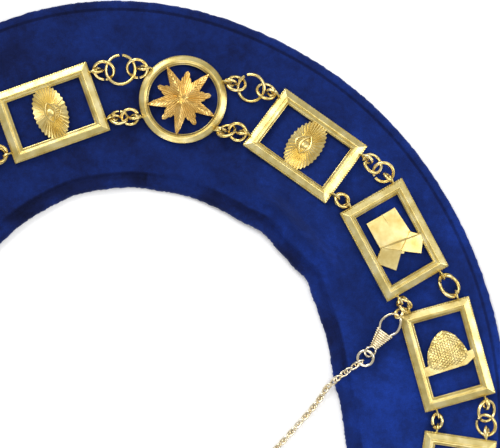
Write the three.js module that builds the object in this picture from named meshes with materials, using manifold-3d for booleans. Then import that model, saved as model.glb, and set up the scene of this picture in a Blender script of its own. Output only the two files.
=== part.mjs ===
// A chain of office: a padded velvet collar that lies flat, with a chain of moulded plates
// joined by jump rings on it, and a thin chain that hangs across the neck opening.
// Millimetres, +Z up. The back of the neck is at +Y, the V of the front at -Y.
import * as THREE from 'three';
import * as BufferGeometryUtils from 'three/addons/utils/BufferGeometryUtils.js';
import Module from 'manifold-3d';

const wasm = await Module();
wasm.setup();

// Collar
const neckRadius = 103;
const neckHalfWidth = 112;
const widestDrop = 22;
const bandBack = 90;
const bandSide = 80;
const chainSeatBack = 0.52;
const chainSeatSide = 0.625;
const frontCentreX = 28;
const frontTurn = THREE.MathUtils.degToRad(45);
const velvetThickness = 3.6;
const hemWidth = 6.5;
const foldRise = 17;
const rippleRise = 3.2;

// Plates
const platesPerHalf = 8;
const medallionSlip = 14;
const jointGap = 16.6;
const plateWidth = 37;
const plateThickness = 3;
const frameBar = 6.6;
const medallionRadius = 22.2;
const medallionBar = 5;
const emblemThickness = 1.2;
const emblemRelief = 1.2;
const emblemLift = 0.5;
const restGap = 0.35;

// Rings and their lugs
const rowOffset = 12.5;
const ringWire = 1.2;
const likedRingRadius = 5.5;
const middleRingShare = 1.45;
const ringSlack = 1.35;
const lugHoleRadius = 1.8;
const lugWall = 0.75;
const lugThickness = 0.8;
const jewelRingRadius = 5.4;
const hookRingRadius = 2.4;

// Clasps and the thin chain
const claspBodyLength = 10.2;
const claspNarrow = 3.9;
const claspWide = 9.4;
const claspThickness = 2.6;
const claspHookLength = 10.6;
const claspWire = 1.1;
const claspEyeRadius = 2.9;
const claspEyeRoll = THREE.MathUtils.degToRad(34);
const endRingRadius = 3.6;
const endRingLink = 4.2;
const crossChainWidth = 3.6;

const gold = { color: 0xd8bf78, metalness: 1, roughness: 0.3 };
const paleGold = { color: 0xdccba4, metalness: 1, roughness: 0.28 };
const velvetBlue = { color: 0x24388a, metalness: 0, roughness: 0.95 };

// The fewest sides that keep each round piece round
const ringSides = 10;
const wireSides = 5;
const medallionSides = 20;
const claspSides = 8;
const hookSteps = 16;
const chainSides = 8;
const chainSteps = 44;
const routeSamples = 60;
const seatSteps = 10;
const collarSections = 56;

// Folds of the velvet: where along one half, how long, how high, as shares
const FOLDS = [
  { side: 1, at: 0.187, spread: 0.165, rise: 1.0 },
  { side: -1, at: 0.26, spread: 0.15, rise: 0.3 },
  { side: -1, at: 0.64, spread: 0.13, rise: 0.14 },
  { side: 1, at: 0.66, spread: 0.13, rise: 0.2 },
];
const RIPPLES = [
  { side: -1, at: 0.045, spread: 0.045, rise: 1.0 },
  { side: 1, at: 0.42, spread: 0.045, rise: 0.55 },
  { side: -1, at: 0.47, spread: 0.05, rise: 0.8 },
];

// Where the velvet's edges stray from the drawn plan: out is away from the neck, a share of bandSide
const STRAYS = [
  { band: 1, at: -0.14, spread: 0.26, out: 0.08125 },
  { band: -1, at: -0.25, spread: 0.16, out: -0.05 },
  { band: -1, at: 0.38, spread: 0.13, out: -0.05625 },
];

// How far a plate has slipped from its even place: along goes away from the back of the neck,
// out goes away from the neck opening, both in millimetres, and turn is to its left in degrees
const SLIPS = {
  right_1: { along: -0.4, out: 1.4, turn: -1 },
  right_2: { along: -2, out: 0.6, turn: -4 },
  right_3: { along: -5, out: 3.2, turn: 4.5 },
  right_4: { along: -6, out: 4, turn: 3 },
  right_5: { along: -4.5, out: 3, turn: 1 },
  right_6: { along: -3, out: 1.5, turn: 0 },
  right_7: { along: -1.5, out: 0.5, turn: 0 },
  left_1: { along: -1.4, out: -3.9, turn: 4 },
  left_2: { along: -1, out: -3, turn: 1 },
  left_3: { along: -0.5, out: -1, turn: 1 },
};

// The velvet's section, from the neck edge over the top to the outer edge and back underneath:
// band runs from -1 at the neck edge through 0 at the chain to 1 at the outer edge,
// hem steps in from there, and up is a share of the thickness.
const VELVET_SECTION = [
  { band: -1, hem: 0, up: 0.45 },
  { band: -1, hem: 0.25, up: 0.95 },
  { band: -1, hem: 0.85, up: 1.16 },
  { band: -1, hem: 1.7, up: 1.0 },
  { band: -0.5, hem: 0, up: 1.0 },
  { band: 0.4, hem: 0, up: 1.0 },
  { band: 1, hem: -1.2, up: 1.0 },
  { band: 1, hem: -0.3, up: 0.95 },
  { band: 1, hem: 0, up: 0.45 },
  { band: 1, hem: -0.3, up: 0 },
  { band: 0.3, hem: 0, up: 0 },
  { band: -0.5, hem: 0, up: 0 },
  { band: -1, hem: 0.35, up: 0 },
];

// A moulded bar's section, as shares of the bar and of the thickness
const BAR_SECTION = [
  { across: 0, up: 0 },
  { across: 0, up: 0.5 },
  { across: 0.14, up: 0.6 },
  { across: 0.3, up: 1 },
  { across: 0.62, up: 0.92 },
  { across: 1, up: 0.5 },
  { across: 1, up: 0 },
];

// Outlines drawn on a window: right and down are shares of its short and long sides
const APRON_PANEL = [
  { right: 0.15, down: 0.13 }, { right: 0.83, down: 0.13 },
  { right: 0.87, down: 0.56 }, { right: 0.16, down: 0.56 },
];
const APRON_FLAPS = [
  [{ right: -0.06, down: 0.63 }, { right: 0.17, down: 0.5 }, { right: 0.52, down: 0.68 },
    { right: 0.2, down: 0.86 }],
  [{ right: 0.5, down: 0.68 }, { right: 0.87, down: 0.5 }, { right: 1.07, down: 0.64 },
    { right: 0.86, down: 0.84 }],
];
const HIVE_DOME = [
  { right: 0.06, down: 0.62 }, { right: 0.1, down: 0.44 }, { right: 0.24, down: 0.28 },
  { right: 0.5, down: 0.18 }, { right: 0.74, down: 0.27 }, { right: 0.88, down: 0.41 },
  { right: 0.92, down: 0.58 }, { right: 0.5, down: 0.64 },
];
const HIVE_BOARD = [
  { right: -0.06, down: 0.6 }, { right: 1.06, down: 0.53 }, { right: 1.06, down: 0.6 },
  { right: 0.84, down: 0.69 }, { right: -0.06, down: 0.7 },
];

// The hook's wire, as shares of the hook's length and of half the body's width
const HOOK_WIRE = [
  { along: -1.08, across: 0.62 }, { along: -0.74, across: 1.0 }, { along: -0.42, across: 0.94 },
  { along: -0.13, across: 0.58 }, { along: 0, across: 0 }, { along: -0.13, across: -0.58 },
  { along: -0.42, across: -0.94 }, { along: -0.74, across: -1.0 }, { along: -1.08, across: -0.62 },
];

// Each clasp's joint and the compass angle, from the back of the neck, that it points along
const CLASPS = [
  { name: 'clasp_right', side: 1, joint: 3, towards: THREE.MathUtils.degToRad(211) },
  { name: 'clasp_left', side: -1, joint: 3, towards: THREE.MathUtils.degToRad(140) },
];

// The thin chain's way from the right-hand end ring to the middle of the opening, as shares of
// the opening's half width
const CROSS_CHAIN_ROUTE = [
  { x: 0.897, y: 0.125 }, { x: 0.85, y: 0.045 }, { x: 0.793, y: -0.038 }, { x: 0.696, y: -0.166 },
  { x: 0.554, y: -0.339 }, { x: 0.375, y: -0.509 }, { x: 0.179, y: -0.634 }, { x: 0, y: -0.674 },
];

// Solids

function asSolid(geometry) {
  const bare = geometry.clone();
  bare.deleteAttribute('normal');
  bare.deleteAttribute('uv');
  const merged = BufferGeometryUtils.mergeVertices(bare, 1e-4);
  return new wasm.Manifold(new wasm.Mesh({
    numProp: 3,
    vertProperties: new Float32Array(merged.attributes.position.array),
    triVerts: new Uint32Array(merged.index.array),
  }));
}

function joined(geometries) {
  let solid = asSolid(geometries[0]);
  for (const geometry of geometries.slice(1)) solid = solid.add(asSolid(geometry));
  const mesh = solid.getMesh();
  const result = new THREE.BufferGeometry();
  result.setAttribute('position', new THREE.BufferAttribute(mesh.vertProperties, 3));
  result.setIndex(new THREE.BufferAttribute(mesh.triVerts, 1));
  result.computeVertexNormals();
  return result;
}

function signedVolume(points, faces) {
  let volume = 0;
  for (const [a, b, c] of faces) {
    volume += points[a].dot(new THREE.Vector3().crossVectors(points[b], points[c])) / 6;
  }
  return volume;
}

// A skin over rows of points: the rows close on each other, or end in a flat or pointed cap
function skin(rows, { closed = false, startTip = null, endTip = null } = {}) {
  const count = rows[0].length;
  const points = rows.flat();
  const faces = [];
  const rowPairs = closed ? rows.length : rows.length - 1;
  for (let row = 0; row < rowPairs; row += 1) {
    const next = (row + 1) % rows.length;
    for (let i = 0; i < count; i += 1) {
      const j = (i + 1) % count;
      const [a, b] = [row * count + i, row * count + j];
      const [c, d] = [next * count + i, next * count + j];
      faces.push([a, b, d], [a, d, c]);
    }
  }
  if (!closed) {
    const last = (rows.length - 1) * count;
    const start = points.push(startTip ?? middle(rows[0])) - 1;
    const end = points.push(endTip ?? middle(rows[rows.length - 1])) - 1;
    for (let i = 0; i < count; i += 1) {
      const j = (i + 1) % count;
      faces.push([start, j, i], [end, last + i, last + j]);
    }
  }
  if (signedVolume(points, faces) < 0) faces.forEach((face) => face.reverse());
  const geometry = new THREE.BufferGeometry().setFromPoints(points);
  geometry.setIndex(faces.flat());
  geometry.computeVertexNormals();
  return geometry;
}

function middle(points) {
  const sum = points.reduce((total, point) => total.add(point), new THREE.Vector3());
  return sum.divideScalar(points.length);
}

function loop(count, makePoint) {
  return Array.from({ length: count }, (_, i) => makePoint((2 * Math.PI * i) / count, i));
}

function slab(outline, base, height) {
  const shape = new THREE.Shape(outline.map((point) => new THREE.Vector2(point.x, point.y)));
  const geometry = new THREE.ExtrudeGeometry(shape, { depth: height, bevelEnabled: false });
  return geometry.translate(0, 0, base);
}

// The collar's plan

function collarLine(back, halfWidth) {
  const turnRadius = halfWidth - frontCentreX;
  const drop = -widestDrop;
  const side = new THREE.EllipseCurve(0, drop, halfWidth, back - drop, Math.PI / 2, 0, true);
  const shoulder = new THREE.EllipseCurve(frontCentreX, drop, turnRadius, turnRadius, 0, -frontTurn, true);
  const start = shoulder.getPoint(1);
  const tip = new THREE.Vector2(0, start.y - start.x / Math.tan(frontTurn));
  return [side, shoulder, new THREE.LineCurve(start, tip)];
}

const neckLine = collarLine(neckRadius, neckHalfWidth);
const chainLine = collarLine(
  neckRadius + chainSeatBack * bandBack,
  neckHalfWidth + chainSeatSide * bandSide,
);
const outerLine = collarLine(neckRadius + bandBack, neckHalfWidth + bandSide);
const chainLengths = chainLine.map((piece) => piece.getLength());
const chainHalf = chainLengths.reduce((sum, length) => sum + length, 0);

// A station is a distance along the chain from the back of the neck, positive on the right
function onLine(line, distance) {
  const side = distance < 0 ? -1 : 1;
  let rest = Math.min(Math.abs(distance), chainHalf);
  let piece = 0;
  while (piece < 2 && rest > chainLengths[piece]) {
    rest -= chainLengths[piece];
    piece += 1;
  }
  const point = line[piece].getPointAt(Math.min(rest / chainLengths[piece], 1));
  return new THREE.Vector2(side * point.x, point.y);
}

function heading(distance) {
  const step = 0.5;
  const ahead = onLine(chainLine, distance + step);
  const behind = onLine(chainLine, distance - step);
  return ahead.sub(behind).normalize();
}

// The velvet

function bump(share) {
  const rest = 1 - share * share;
  return rest > 0 ? rest * rest : 0;
}

const foldCrest = -0.55;
const foldFoot = 0.85;
const foldAtNeck = 0.12;

function foldAcross(band) {
  if (band > foldCrest) return Math.max(0, (foldFoot - band) / (foldFoot - foldCrest));
  const share = (band + 1) / (foldCrest + 1);
  return foldAtNeck + (1 - foldAtNeck) * share * share * (3 - 2 * share);
}

const rippleCentre = -0.74;
const rippleReach = 0.36;

function velvetLift(distance, band) {
  const share = distance / chainHalf;
  const folds = FOLDS.map((fold) => foldRise * fold.rise * foldAcross(band)
    * bump((share - fold.side * fold.at) / fold.spread));
  const ripples = RIPPLES.map((ripple) => rippleRise * ripple.rise
    * bump((share - ripple.side * ripple.at) / ripple.spread)
    * bump((band - rippleCentre) / rippleReach));
  return [...folds, ...ripples].reduce((sum, lift) => sum + lift, 0);
}

function edgeStray(distance, band) {
  const stray = STRAYS.filter((edge) => edge.band === band)
    .reduce((sum, { at, spread, out }) => sum + out * bump((distance / chainHalf - at) / spread), 0);
  return stray * bandSide;
}

function velvetRow(distance) {
  const neck = onLine(neckLine, distance);
  const chain = onLine(chainLine, distance);
  const outer = onLine(outerLine, distance);
  const out = outer.clone().sub(neck).normalize();
  return VELVET_SECTION.map(({ band, hem, up }) => {
    const side = Math.sign(band);
    const edge = (side < 0 ? neck : outer).clone().addScaledVector(out, edgeStray(distance, side));
    const flat = chain.clone().lerp(edge, Math.abs(band)).addScaledVector(out, hem * hemWidth);
    const height = up * velvetThickness + velvetLift(distance, band);
    return new THREE.Vector3(flat.x, flat.y, height);
  });
}

const velvetRows = Array.from({ length: collarSections }, (_, i) => (
  velvetRow(chainHalf * ((2 * i) / collarSections - 1))
));
const velvetGeometry = skin(velvetRows, { closed: true });

// The height of the velvet's top over a plan point, or the floor's beside it
const flatEnough = 1e-9;

function velvetTop(x, y) {
  const { position } = velvetGeometry.attributes;
  const order = velvetGeometry.index.array;
  const corner = (k) => new THREE.Vector3().fromBufferAttribute(position, order[k]);
  let top = 0;
  for (let k = 0; k < order.length; k += 3) {
    const [a, b, c] = [corner(k), corner(k + 1), corner(k + 2)];
    const area = (b.x - a.x) * (c.y - a.y) - (c.x - a.x) * (b.y - a.y);
    if (area > flatEnough) {
      const u = ((b.x - x) * (c.y - y) - (c.x - x) * (b.y - y)) / area;
      const v = ((c.x - x) * (a.y - y) - (a.x - x) * (c.y - y)) / area;
      const w = 1 - u - v;
      if (u >= 0 && v >= 0 && w >= 0) top = Math.max(top, u * a.z + v * b.z + w * c.z);
    }
  }
  return top;
}

// The place of a stiff plate that lies on the velvet: it tilts with what is under its ends and sides.
// Farthest is how far out the plate reaches, where its half length and half width count as 1.
const squareReach = 1.5;
const roundReach = 1.1;

function seat(centre, along, halfLength, halfWidth, farthest) {
  const left = new THREE.Vector2(-along.y, along.x);
  const steps = Array.from({ length: seatSteps + 1 }, (_, i) => (2 * i) / seatSteps - 1);
  const samples = [];
  for (const u of steps) {
    for (const v of steps.filter((step) => Math.hypot(u, step) < farthest)) {
      const p = centre.clone().addScaledVector(along, u * halfLength).addScaledVector(left, v * halfWidth);
      samples.push({ u: u * halfLength, v: v * halfWidth, z: velvetTop(p.x, p.y) });
    }
  }
  const slope = (axis) => {
    const spread = samples.reduce((sum, s) => sum + s[axis] * s[axis], 0);
    return samples.reduce((sum, s) => sum + s[axis] * s.z, 0) / spread;
  };
  const [slopeU, slopeV] = [slope('u'), slope('v')];
  const base = Math.max(...samples.map((s) => s.z - slopeU * s.u - slopeV * s.v));
  const x = new THREE.Vector3(along.x, along.y, slopeU).normalize();
  const z = new THREE.Vector3(0, 0, 1)
    .addScaledVector(new THREE.Vector3(along.x, along.y, 0), -slopeU)
    .addScaledVector(new THREE.Vector3(left.x, left.y, 0), -slopeV)
    .normalize();
  const y = new THREE.Vector3().crossVectors(z, x).normalize();
  const matrix = new THREE.Matrix4().makeBasis(x, y, z);
  return matrix.setPosition(centre.x, centre.y, base + restGap);
}

// Frames, lugs and emblems, each drawn flat with its underside at Z = 0

const pitch = chainHalf / platesPerHalf;
const plateLength = pitch - jointGap;
const windowLength = plateLength - 2 * frameBar;
const windowWidth = plateWidth - 2 * frameBar;
const lugOuterRadius = lugHoleRadius + lugWall;
const lugFoot = 0.2;
const lugRoot = 0.05;
const lugHoleGap = 0.2;
const lugReach = lugHoleRadius + lugHoleGap;
const lugCentreHeight = lugFoot + lugOuterRadius;

function frame() {
  const rows = BAR_SECTION.map(({ across, up }) => {
    const x = plateLength / 2 - across * frameBar;
    const y = plateWidth / 2 - across * frameBar;
    const z = up * plateThickness;
    return [[x, y], [-x, y], [-x, -y], [x, -y]].map(([cx, cy]) => new THREE.Vector3(cx, cy, z));
  });
  return skin(rows, { closed: true });
}

function roundFrame() {
  const profile = BAR_SECTION.map(({ across, up }) => (
    new THREE.Vector2(medallionRadius - across * medallionBar, up * plateThickness)
  ));
  const rims = profile.map(({ x, y }) => loop(medallionSides, (turn) => (
    new THREE.Vector3(x * Math.cos(turn), x * Math.sin(turn), y)
  )));
  return skin(rims, { closed: true });
}

// An upright loop on a plate's edge: x and y are where it leaves the edge, turn is where it points
const lugBite = 1.2;
const lugRootShare = 0.46;

function lug({ x, y, turn }) {
  const rootTop = lugRootShare * plateThickness;
  const rim = (across, up) => new THREE.Vector2(
    lugReach + across * lugOuterRadius,
    lugFoot + (1 + up) * lugOuterRadius,
  );
  const shape = new THREE.Shape([
    new THREE.Vector2(-lugBite, lugFoot), rim(0, -1), rim(0.9, -0.5), rim(0.9, 0.5), rim(0, 1),
    new THREE.Vector2(lugRoot, lugFoot + 1.6 * lugOuterRadius),
    new THREE.Vector2(lugRoot, rootTop), new THREE.Vector2(-lugBite, rootTop),
  ]);
  shape.holes.push(new THREE.Path(loop(4, (a) => new THREE.Vector2(
    lugReach + lugHoleRadius * Math.cos(a + Math.PI / 4),
    lugCentreHeight + lugHoleRadius * Math.sin(a + Math.PI / 4),
  ))));
  const geometry = new THREE.ExtrudeGeometry(shape, { depth: lugThickness, bevelEnabled: false });
  geometry.translate(0, 0, -lugThickness / 2).rotateX(Math.PI / 2).rotateZ(turn);
  return geometry.translate(x, y, 0);
}

function lugHole({ x, y, turn }) {
  return new THREE.Vector3(x + lugReach * Math.cos(turn), y + lugReach * Math.sin(turn), lugCentreHeight);
}

const plateLugs = {
  aheadLeft: { x: plateLength / 2, y: rowOffset, turn: 0 },
  aheadRight: { x: plateLength / 2, y: -rowOffset, turn: 0 },
  behindLeft: { x: -plateLength / 2, y: rowOffset, turn: Math.PI },
  behindRight: { x: -plateLength / 2, y: -rowOffset, turn: Math.PI },
};

function medallionLugs(ahead, behind) {
  const spread = Math.asin(rowOffset / medallionRadius);
  const rim = (turn, aside) => ({
    x: medallionRadius * Math.cos(turn + aside), y: medallionRadius * Math.sin(turn + aside), turn,
  });
  return {
    aheadLeft: rim(ahead, spread),
    aheadRight: rim(ahead, -spread),
    behindLeft: rim(behind, -spread),
    behindRight: rim(behind, spread),
  };
}

function inWindow({ right, down }) {
  return new THREE.Vector2((down - 0.5) * windowLength, (right - 0.5) * windowWidth);
}

const emblemTop = emblemLift + emblemThickness;

function eyeEmblem() {
  const halfTall = windowWidth / 2 + 0.16 * frameBar;
  const halfWide = 0.62 * halfTall;
  const rays = 16;
  const oval = (share, z) => loop(rays, (turn, i) => {
    const reach = share * (i % 2 ? 0.94 : 1);
    return new THREE.Vector3(halfWide * reach * Math.cos(turn), halfTall * reach * Math.sin(turn), z);
  });
  const rayed = skin([oval(1, emblemLift), oval(1, emblemTop), oval(0.4, emblemTop + 0.6 * emblemRelief)]);
  const almond = (share, z) => loop(6, (turn) => new THREE.Vector3(
    0.62 * halfWide * share * Math.sin(turn) * Math.abs(Math.sin(turn)) ** 0.5,
    0.46 * halfWide * share * Math.cos(turn),
    z,
  ).applyAxisAngle(new THREE.Vector3(0, 0, 1), Math.PI / 2));
  const eye = skin([almond(1, emblemTop), almond(0.55, emblemTop + emblemRelief)]);
  return [rayed, eye];
}

function apronEmblem() {
  const flapLift = 0.3;
  const panel = slab(APRON_PANEL.map(inWindow), emblemLift, emblemThickness);
  const flaps = APRON_FLAPS.map((flap) => slab(flap.map(inWindow), emblemLift, emblemThickness + flapLift));
  return [panel, ...flaps];
}

function hiveEmblem() {
  const dome = (share, z) => {
    const outline = HIVE_DOME.map(inWindow);
    const centre = inWindow({ right: 0.49, down: 0.47 });
    return outline.map((p) => {
      const q = centre.clone().lerp(p, share);
      return new THREE.Vector3(q.x, q.y, z);
    });
  };
  const hive = skin([
    dome(1, emblemLift),
    dome(1, emblemTop),
    dome(0.72, emblemTop + 0.8 * emblemRelief),
    dome(0.3, emblemTop + emblemRelief),
  ]);
  return [hive, slab(HIVE_BOARD.map(inWindow), emblemLift, emblemThickness + 0.5)];
}

function starEmblem() {
  const points = 5;
  const longReach = medallionRadius - 0.85 * medallionBar;
  const window = medallionRadius - medallionBar;
  const outline = (share, z) => loop(4 * points, (turn, i) => {
    const reach = [longReach, 0.58 * window, 0.79 * window, 0.58 * window][i % 4] * share;
    const a = turn - Math.PI / 2;
    return new THREE.Vector3(reach * Math.cos(a), reach * Math.sin(a), z);
  });
  const peak = new THREE.Vector3(0, 0, emblemTop + emblemRelief);
  return [skin([outline(1, emblemLift), outline(1, emblemTop)], { endTip: peak })];
}

const EMBLEMS = [
  { name: 'eye', make: eyeEmblem },
  { name: 'apron', make: apronEmblem },
  { name: 'beehive', make: hiveEmblem },
];

const office = new THREE.Group();

function addPiece(name, geometry, look, matrix = new THREE.Matrix4()) {
  const mesh = new THREE.Mesh(geometry, new THREE.MeshStandardMaterial(look));
  mesh.name = name;
  matrix.decompose(mesh.position, mesh.quaternion, mesh.scale);
  office.add(mesh);
  return mesh;
}

addPiece('velvet_collar', velvetGeometry, velvetBlue);

// The round the chain makes: the back medallion, the right plates, the front medallion, the left plates

const unionOf = (parts, lugs) => joined([...parts, ...Object.values(lugs).map(lug)]);
const framesByEmblem = EMBLEMS.map(({ make }) => unionOf([frame(), ...make()], plateLugs));

function addPlate(sideName, side, number) {
  const station = side * number * ((chainHalf - side * medallionSlip) / platesPerHalf) + medallionSlip;
  const slip = SLIPS[`${sideName}_${number}`] ?? { along: 0, out: 0, turn: 0 };
  const even = heading(station).multiplyScalar(side);
  const out = new THREE.Vector2(-even.y, even.x).multiplyScalar(side);
  const centre = onLine(chainLine, station).addScaledVector(even, slip.along).addScaledVector(out, slip.out);
  const along = even.clone().rotateAround(new THREE.Vector2(), THREE.MathUtils.degToRad(slip.turn));
  const place = seat(centre, along, plateLength / 2, plateWidth / 2, squareReach);
  const kind = (number - 1) % EMBLEMS.length;
  const name = `${sideName}_${number}_${EMBLEMS[kind].name}_plate`;
  addPiece(name, framesByEmblem[kind], gold, place);
  return { place, lugs: plateLugs };
}

function addMedallion(name, station, along, ahead, behind) {
  const place = seat(onLine(chainLine, station), along, medallionRadius, medallionRadius, roundReach);
  const lugs = medallionLugs(ahead, behind);
  return { name, place, lugs };
}

const back = addMedallion('star_medallion_back', medallionSlip, heading(medallionSlip), 0, Math.PI);
const front = addMedallion(
  'star_medallion_front',
  chainHalf,
  new THREE.Vector2(1, 0),
  Math.PI / 2 + frontTurn,
  Math.PI / 2 - frontTurn,
);
const jewelLug = { x: 0, y: -medallionRadius, turn: -Math.PI / 2 };
addPiece(back.name, unionOf([roundFrame(), ...starEmblem()], back.lugs), gold, back.place);
addPiece(
  front.name,
  unionOf([roundFrame(), ...starEmblem()], { ...front.lugs, jewelLug }),
  gold,
  front.place,
);

const numbers = Array.from({ length: platesPerHalf - 1 }, (_, i) => i + 1);
const halves = [
  { name: 'right', side: 1, plates: [back, ...numbers.map((n) => addPlate('right', 1, n)), front] },
  { name: 'left', side: -1, plates: [back, ...numbers.map((n) => addPlate('left', -1, n)), front] },
];

// Rows of jump rings

const wireRadius = ringWire / 2;

function unitRadii(count) {
  return Array.from({ length: count }, (_, i) => (i === 0 || i === count - 1 ? 1 : middleRingShare));
}

function rowSpacing(radii, i) {
  return ringSlack * (radii[i] + radii[i + 1]) / 2;
}

function rowRadii(length) {
  const rows = [1, 2, 3, 4, 5].map((count) => {
    const unit = unitRadii(count);
    const gaps = unit.slice(1).map((_, i) => rowSpacing(unit, i));
    const reach = unit[0] + unit[count - 1] + gaps.reduce((sum, gap) => sum + gap, 0);
    return unit.map((radius) => radius * (length / reach));
  });
  const misfit = (radii) => {
    const mean = radii.reduce((sum, radius) => sum + radius, 0) / radii.length;
    return Math.abs(mean - likedRingRadius);
  };
  return rows.reduce((best, row) => (misfit(row) < misfit(best) ? row : best));
}

// Half the chord where two rings cross, seen from above
function crossing(first, second, apart) {
  const x = (apart * apart + first * first - second * second) / (2 * apart);
  return Math.sqrt(Math.max(first * first - x * x, wireRadius * wireRadius));
}

const loneRingTilt = 0.1;
const crossingShare = 0.8;
const hookRingLift = 0.6;

// An upright ring through a row's middle ring, for a clasp's hook: towards is the plan direction
function hookRing(place, centre, radius, towards) {
  const turn = new THREE.Quaternion().setFromRotationMatrix(place).invert();
  const way = new THREE.Vector3(towards.x, towards.y, 0).applyQuaternion(turn).setZ(0).normalize();
  const reach = radius + hookRingRadius - crossingShare * ringWire;
  const ring = new THREE.TorusGeometry(hookRingRadius, wireRadius, wireSides, ringSides);
  ring.rotateX(Math.PI / 2).rotateZ(Math.atan2(way.y, way.x));
  ring.translate(centre + way.x * reach, way.y * reach, hookRingLift);
  const wireGap = (ringWire + claspWire) / 2 + restGap;
  const hold = way.clone().multiplyScalar(reach + hookRingRadius - wireGap);
  hold.add(new THREE.Vector3(centre, 0, hookRingLift));
  return { ring, hold: hold.applyMatrix4(place) };
}

function addRingRow(name, from, to, up, towards = null) {
  const axis = to.clone().sub(from);
  const radii = rowRadii(axis.length());
  axis.normalize();
  const across = new THREE.Vector3().crossVectors(up, axis).normalize();
  const normal = new THREE.Vector3().crossVectors(axis, across);
  const chords = radii.slice(1).map((radius, i) => crossing(radii[i], radius, rowSpacing(radii, i)));
  const tilt = chords.length
    ? Math.atan((crossingShare * wireRadius) / Math.max(...chords))
    : loneRingTilt;
  const centres = [radii[0]];
  for (let i = 1; i < radii.length; i += 1) centres.push(centres[i - 1] + rowSpacing(radii, i - 1));
  const rings = radii.map((radius, i) => {
    const ring = new THREE.TorusGeometry(radius, wireRadius, wireSides, ringSides);
    return ring.rotateX(i % 2 ? tilt : -tilt).translate(centres[i], 0, 0);
  });
  const place = new THREE.Matrix4().makeBasis(axis, across, normal).setPosition(from);
  const middleRing = Math.floor(radii.length / 2);
  const hook = towards && hookRing(place, centres[middleRing], radii[middleRing], towards);
  if (hook) rings.push(hook.ring);
  addPiece(name, joined(rings), gold, place);
  return hook?.hold;
}

function worldHole(plate, lugName) {
  return lugHole(plate.lugs[lugName]).applyMatrix4(plate.place);
}

const clasps = CLASPS.map((clasp) => (
  { ...clasp, way: new THREE.Vector2(Math.sin(clasp.towards), Math.cos(clasp.towards)) }
));

for (const { name, side, plates } of halves) {
  const [ahead, behind] = side > 0 ? ['ahead', 'behind'] : ['behind', 'ahead'];
  for (let joint = 1; joint < plates.length; joint += 1) {
    const [first, second] = [plates[joint - 1], plates[joint]];
    const ups = [first, second].map(({ place }) => new THREE.Vector3().setFromMatrixColumn(place, 2));
    const up = ups[0].add(ups[1]).normalize();
    const firstSide = first === back || side > 0 ? ahead : 'ahead';
    const secondSide = second === front || side > 0 ? behind : 'behind';
    for (const row of ['Left', 'Right']) {
      const outward = (row === 'Left') === (side > 0);
      const rowName = `${name}_${joint}_${outward ? 'outer' : 'neck'}_rings`;
      const [firstRow, secondRow] = side > 0 ? [row, row] : leftRows(first, second, row);
      const from = worldHole(first, firstSide + firstRow);
      const to = worldHole(second, secondSide + secondRow);
      const clasp = clasps.find((one) => !outward && one.side === side && one.joint === joint);
      const hold = addRingRow(rowName, from, to, up, clasp?.way);
      if (clasp) clasp.hold = hold;
    }
  }
}

// A medallion's own left and right are those of someone who goes round by the right
function leftRows(first, second, row) {
  const other = row === 'Left' ? 'Right' : 'Left';
  return [first === back ? other : row, second === front ? other : row];
}

const jewelHole = lugHole(jewelLug).applyMatrix4(front.place);
const jewelRing = new THREE.TorusGeometry(jewelRingRadius, wireRadius, wireSides, ringSides);
jewelRing.translate(0, -jewelRingRadius, 0);
const jewelPlace = front.place.clone().setPosition(jewelHole);
addPiece('jewel_ring', jewelRing, gold, jewelPlace);

// The clasps hook through the neck-side rings; each is drawn along X with its hook's end at 0

function tube(points, radius, steps, sides) {
  const section = new THREE.Shape(loop(sides, (turn) => (
    new THREE.Vector2(radius * Math.cos(turn), radius * Math.sin(turn))
  )));
  const path = new THREE.CatmullRomCurve3(points, false, 'centripetal');
  return new THREE.ExtrudeGeometry(section, { steps, extrudePath: path, bevelEnabled: false });
}

function claspGeometry() {
  const wire = HOOK_WIRE.map(({ along, across }) => (
    new THREE.Vector3(along * claspHookLength, (across * claspWide) / 2, 0)
  ));
  const hook = tube(wire, claspWire / 2, hookSteps, wireSides);
  const bodySection = (x, width) => loop(claspSides, (turn) => new THREE.Vector3(
    x,
    (width / 2) * Math.sign(Math.cos(turn)) * Math.abs(Math.cos(turn)) ** 0.6,
    (claspThickness / 2) * Math.sign(Math.sin(turn)) * Math.abs(Math.sin(turn)) ** 0.8,
  ));
  const wideEnd = -claspHookLength;
  const narrowEnd = wideEnd - claspBodyLength;
  const body = skin([bodySection(wideEnd, claspWide), bodySection(narrowEnd, claspNarrow)]);
  const eye = new THREE.TorusGeometry(claspEyeRadius, claspWire / 2, wireSides, ringSides);
  eye.rotateX(claspEyeRoll).translate(narrowEnd - claspEyeRadius + claspWire / 2, 0, 0);
  return joined([body, hook, eye]);
}

const claspReach = claspHookLength + claspBodyLength + claspEyeRadius - claspWire / 2 + endRingLink;
const claspSamples = 24;

// How high the far end ring lies so that the whole clasp clears the velvet
function endRingHeight(hold, way) {
  const eyeDepth = claspEyeRadius * Math.sin(claspEyeRoll) + claspWire / 2 + restGap;
  const heights = [];
  for (let i = claspSamples / 4; i <= claspSamples; i += 1) {
    const share = i / claspSamples;
    for (const aside of [-1, 0, 1]) {
      const x = hold.x + way.x * share * claspReach - (way.y * aside * claspWide) / 2;
      const y = hold.y + way.y * share * claspReach + (way.x * aside * claspWide) / 2;
      heights.push((velvetTop(x, y) + eyeDepth - (1 - share) * hold.z) / share);
    }
  }
  return Math.max(...heights);
}

function addClasp({ name, way, hold }) {
  const far = new THREE.Vector2(hold.x, hold.y).addScaledVector(way, claspReach);
  const endRing = new THREE.Vector3(far.x, far.y, endRingHeight(hold, way));
  const axis = hold.clone().sub(endRing).normalize();
  const across = new THREE.Vector3().crossVectors(new THREE.Vector3(0, 0, 1), axis).normalize();
  const normal = new THREE.Vector3().crossVectors(axis, across);
  const place = new THREE.Matrix4().makeBasis(axis, across, normal).setPosition(hold);
  addPiece(name, claspGeometry(), paleGold, place);
  return { endRing, normal };
}

const [claspRight, claspLeft] = clasps.map(addClasp);

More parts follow.
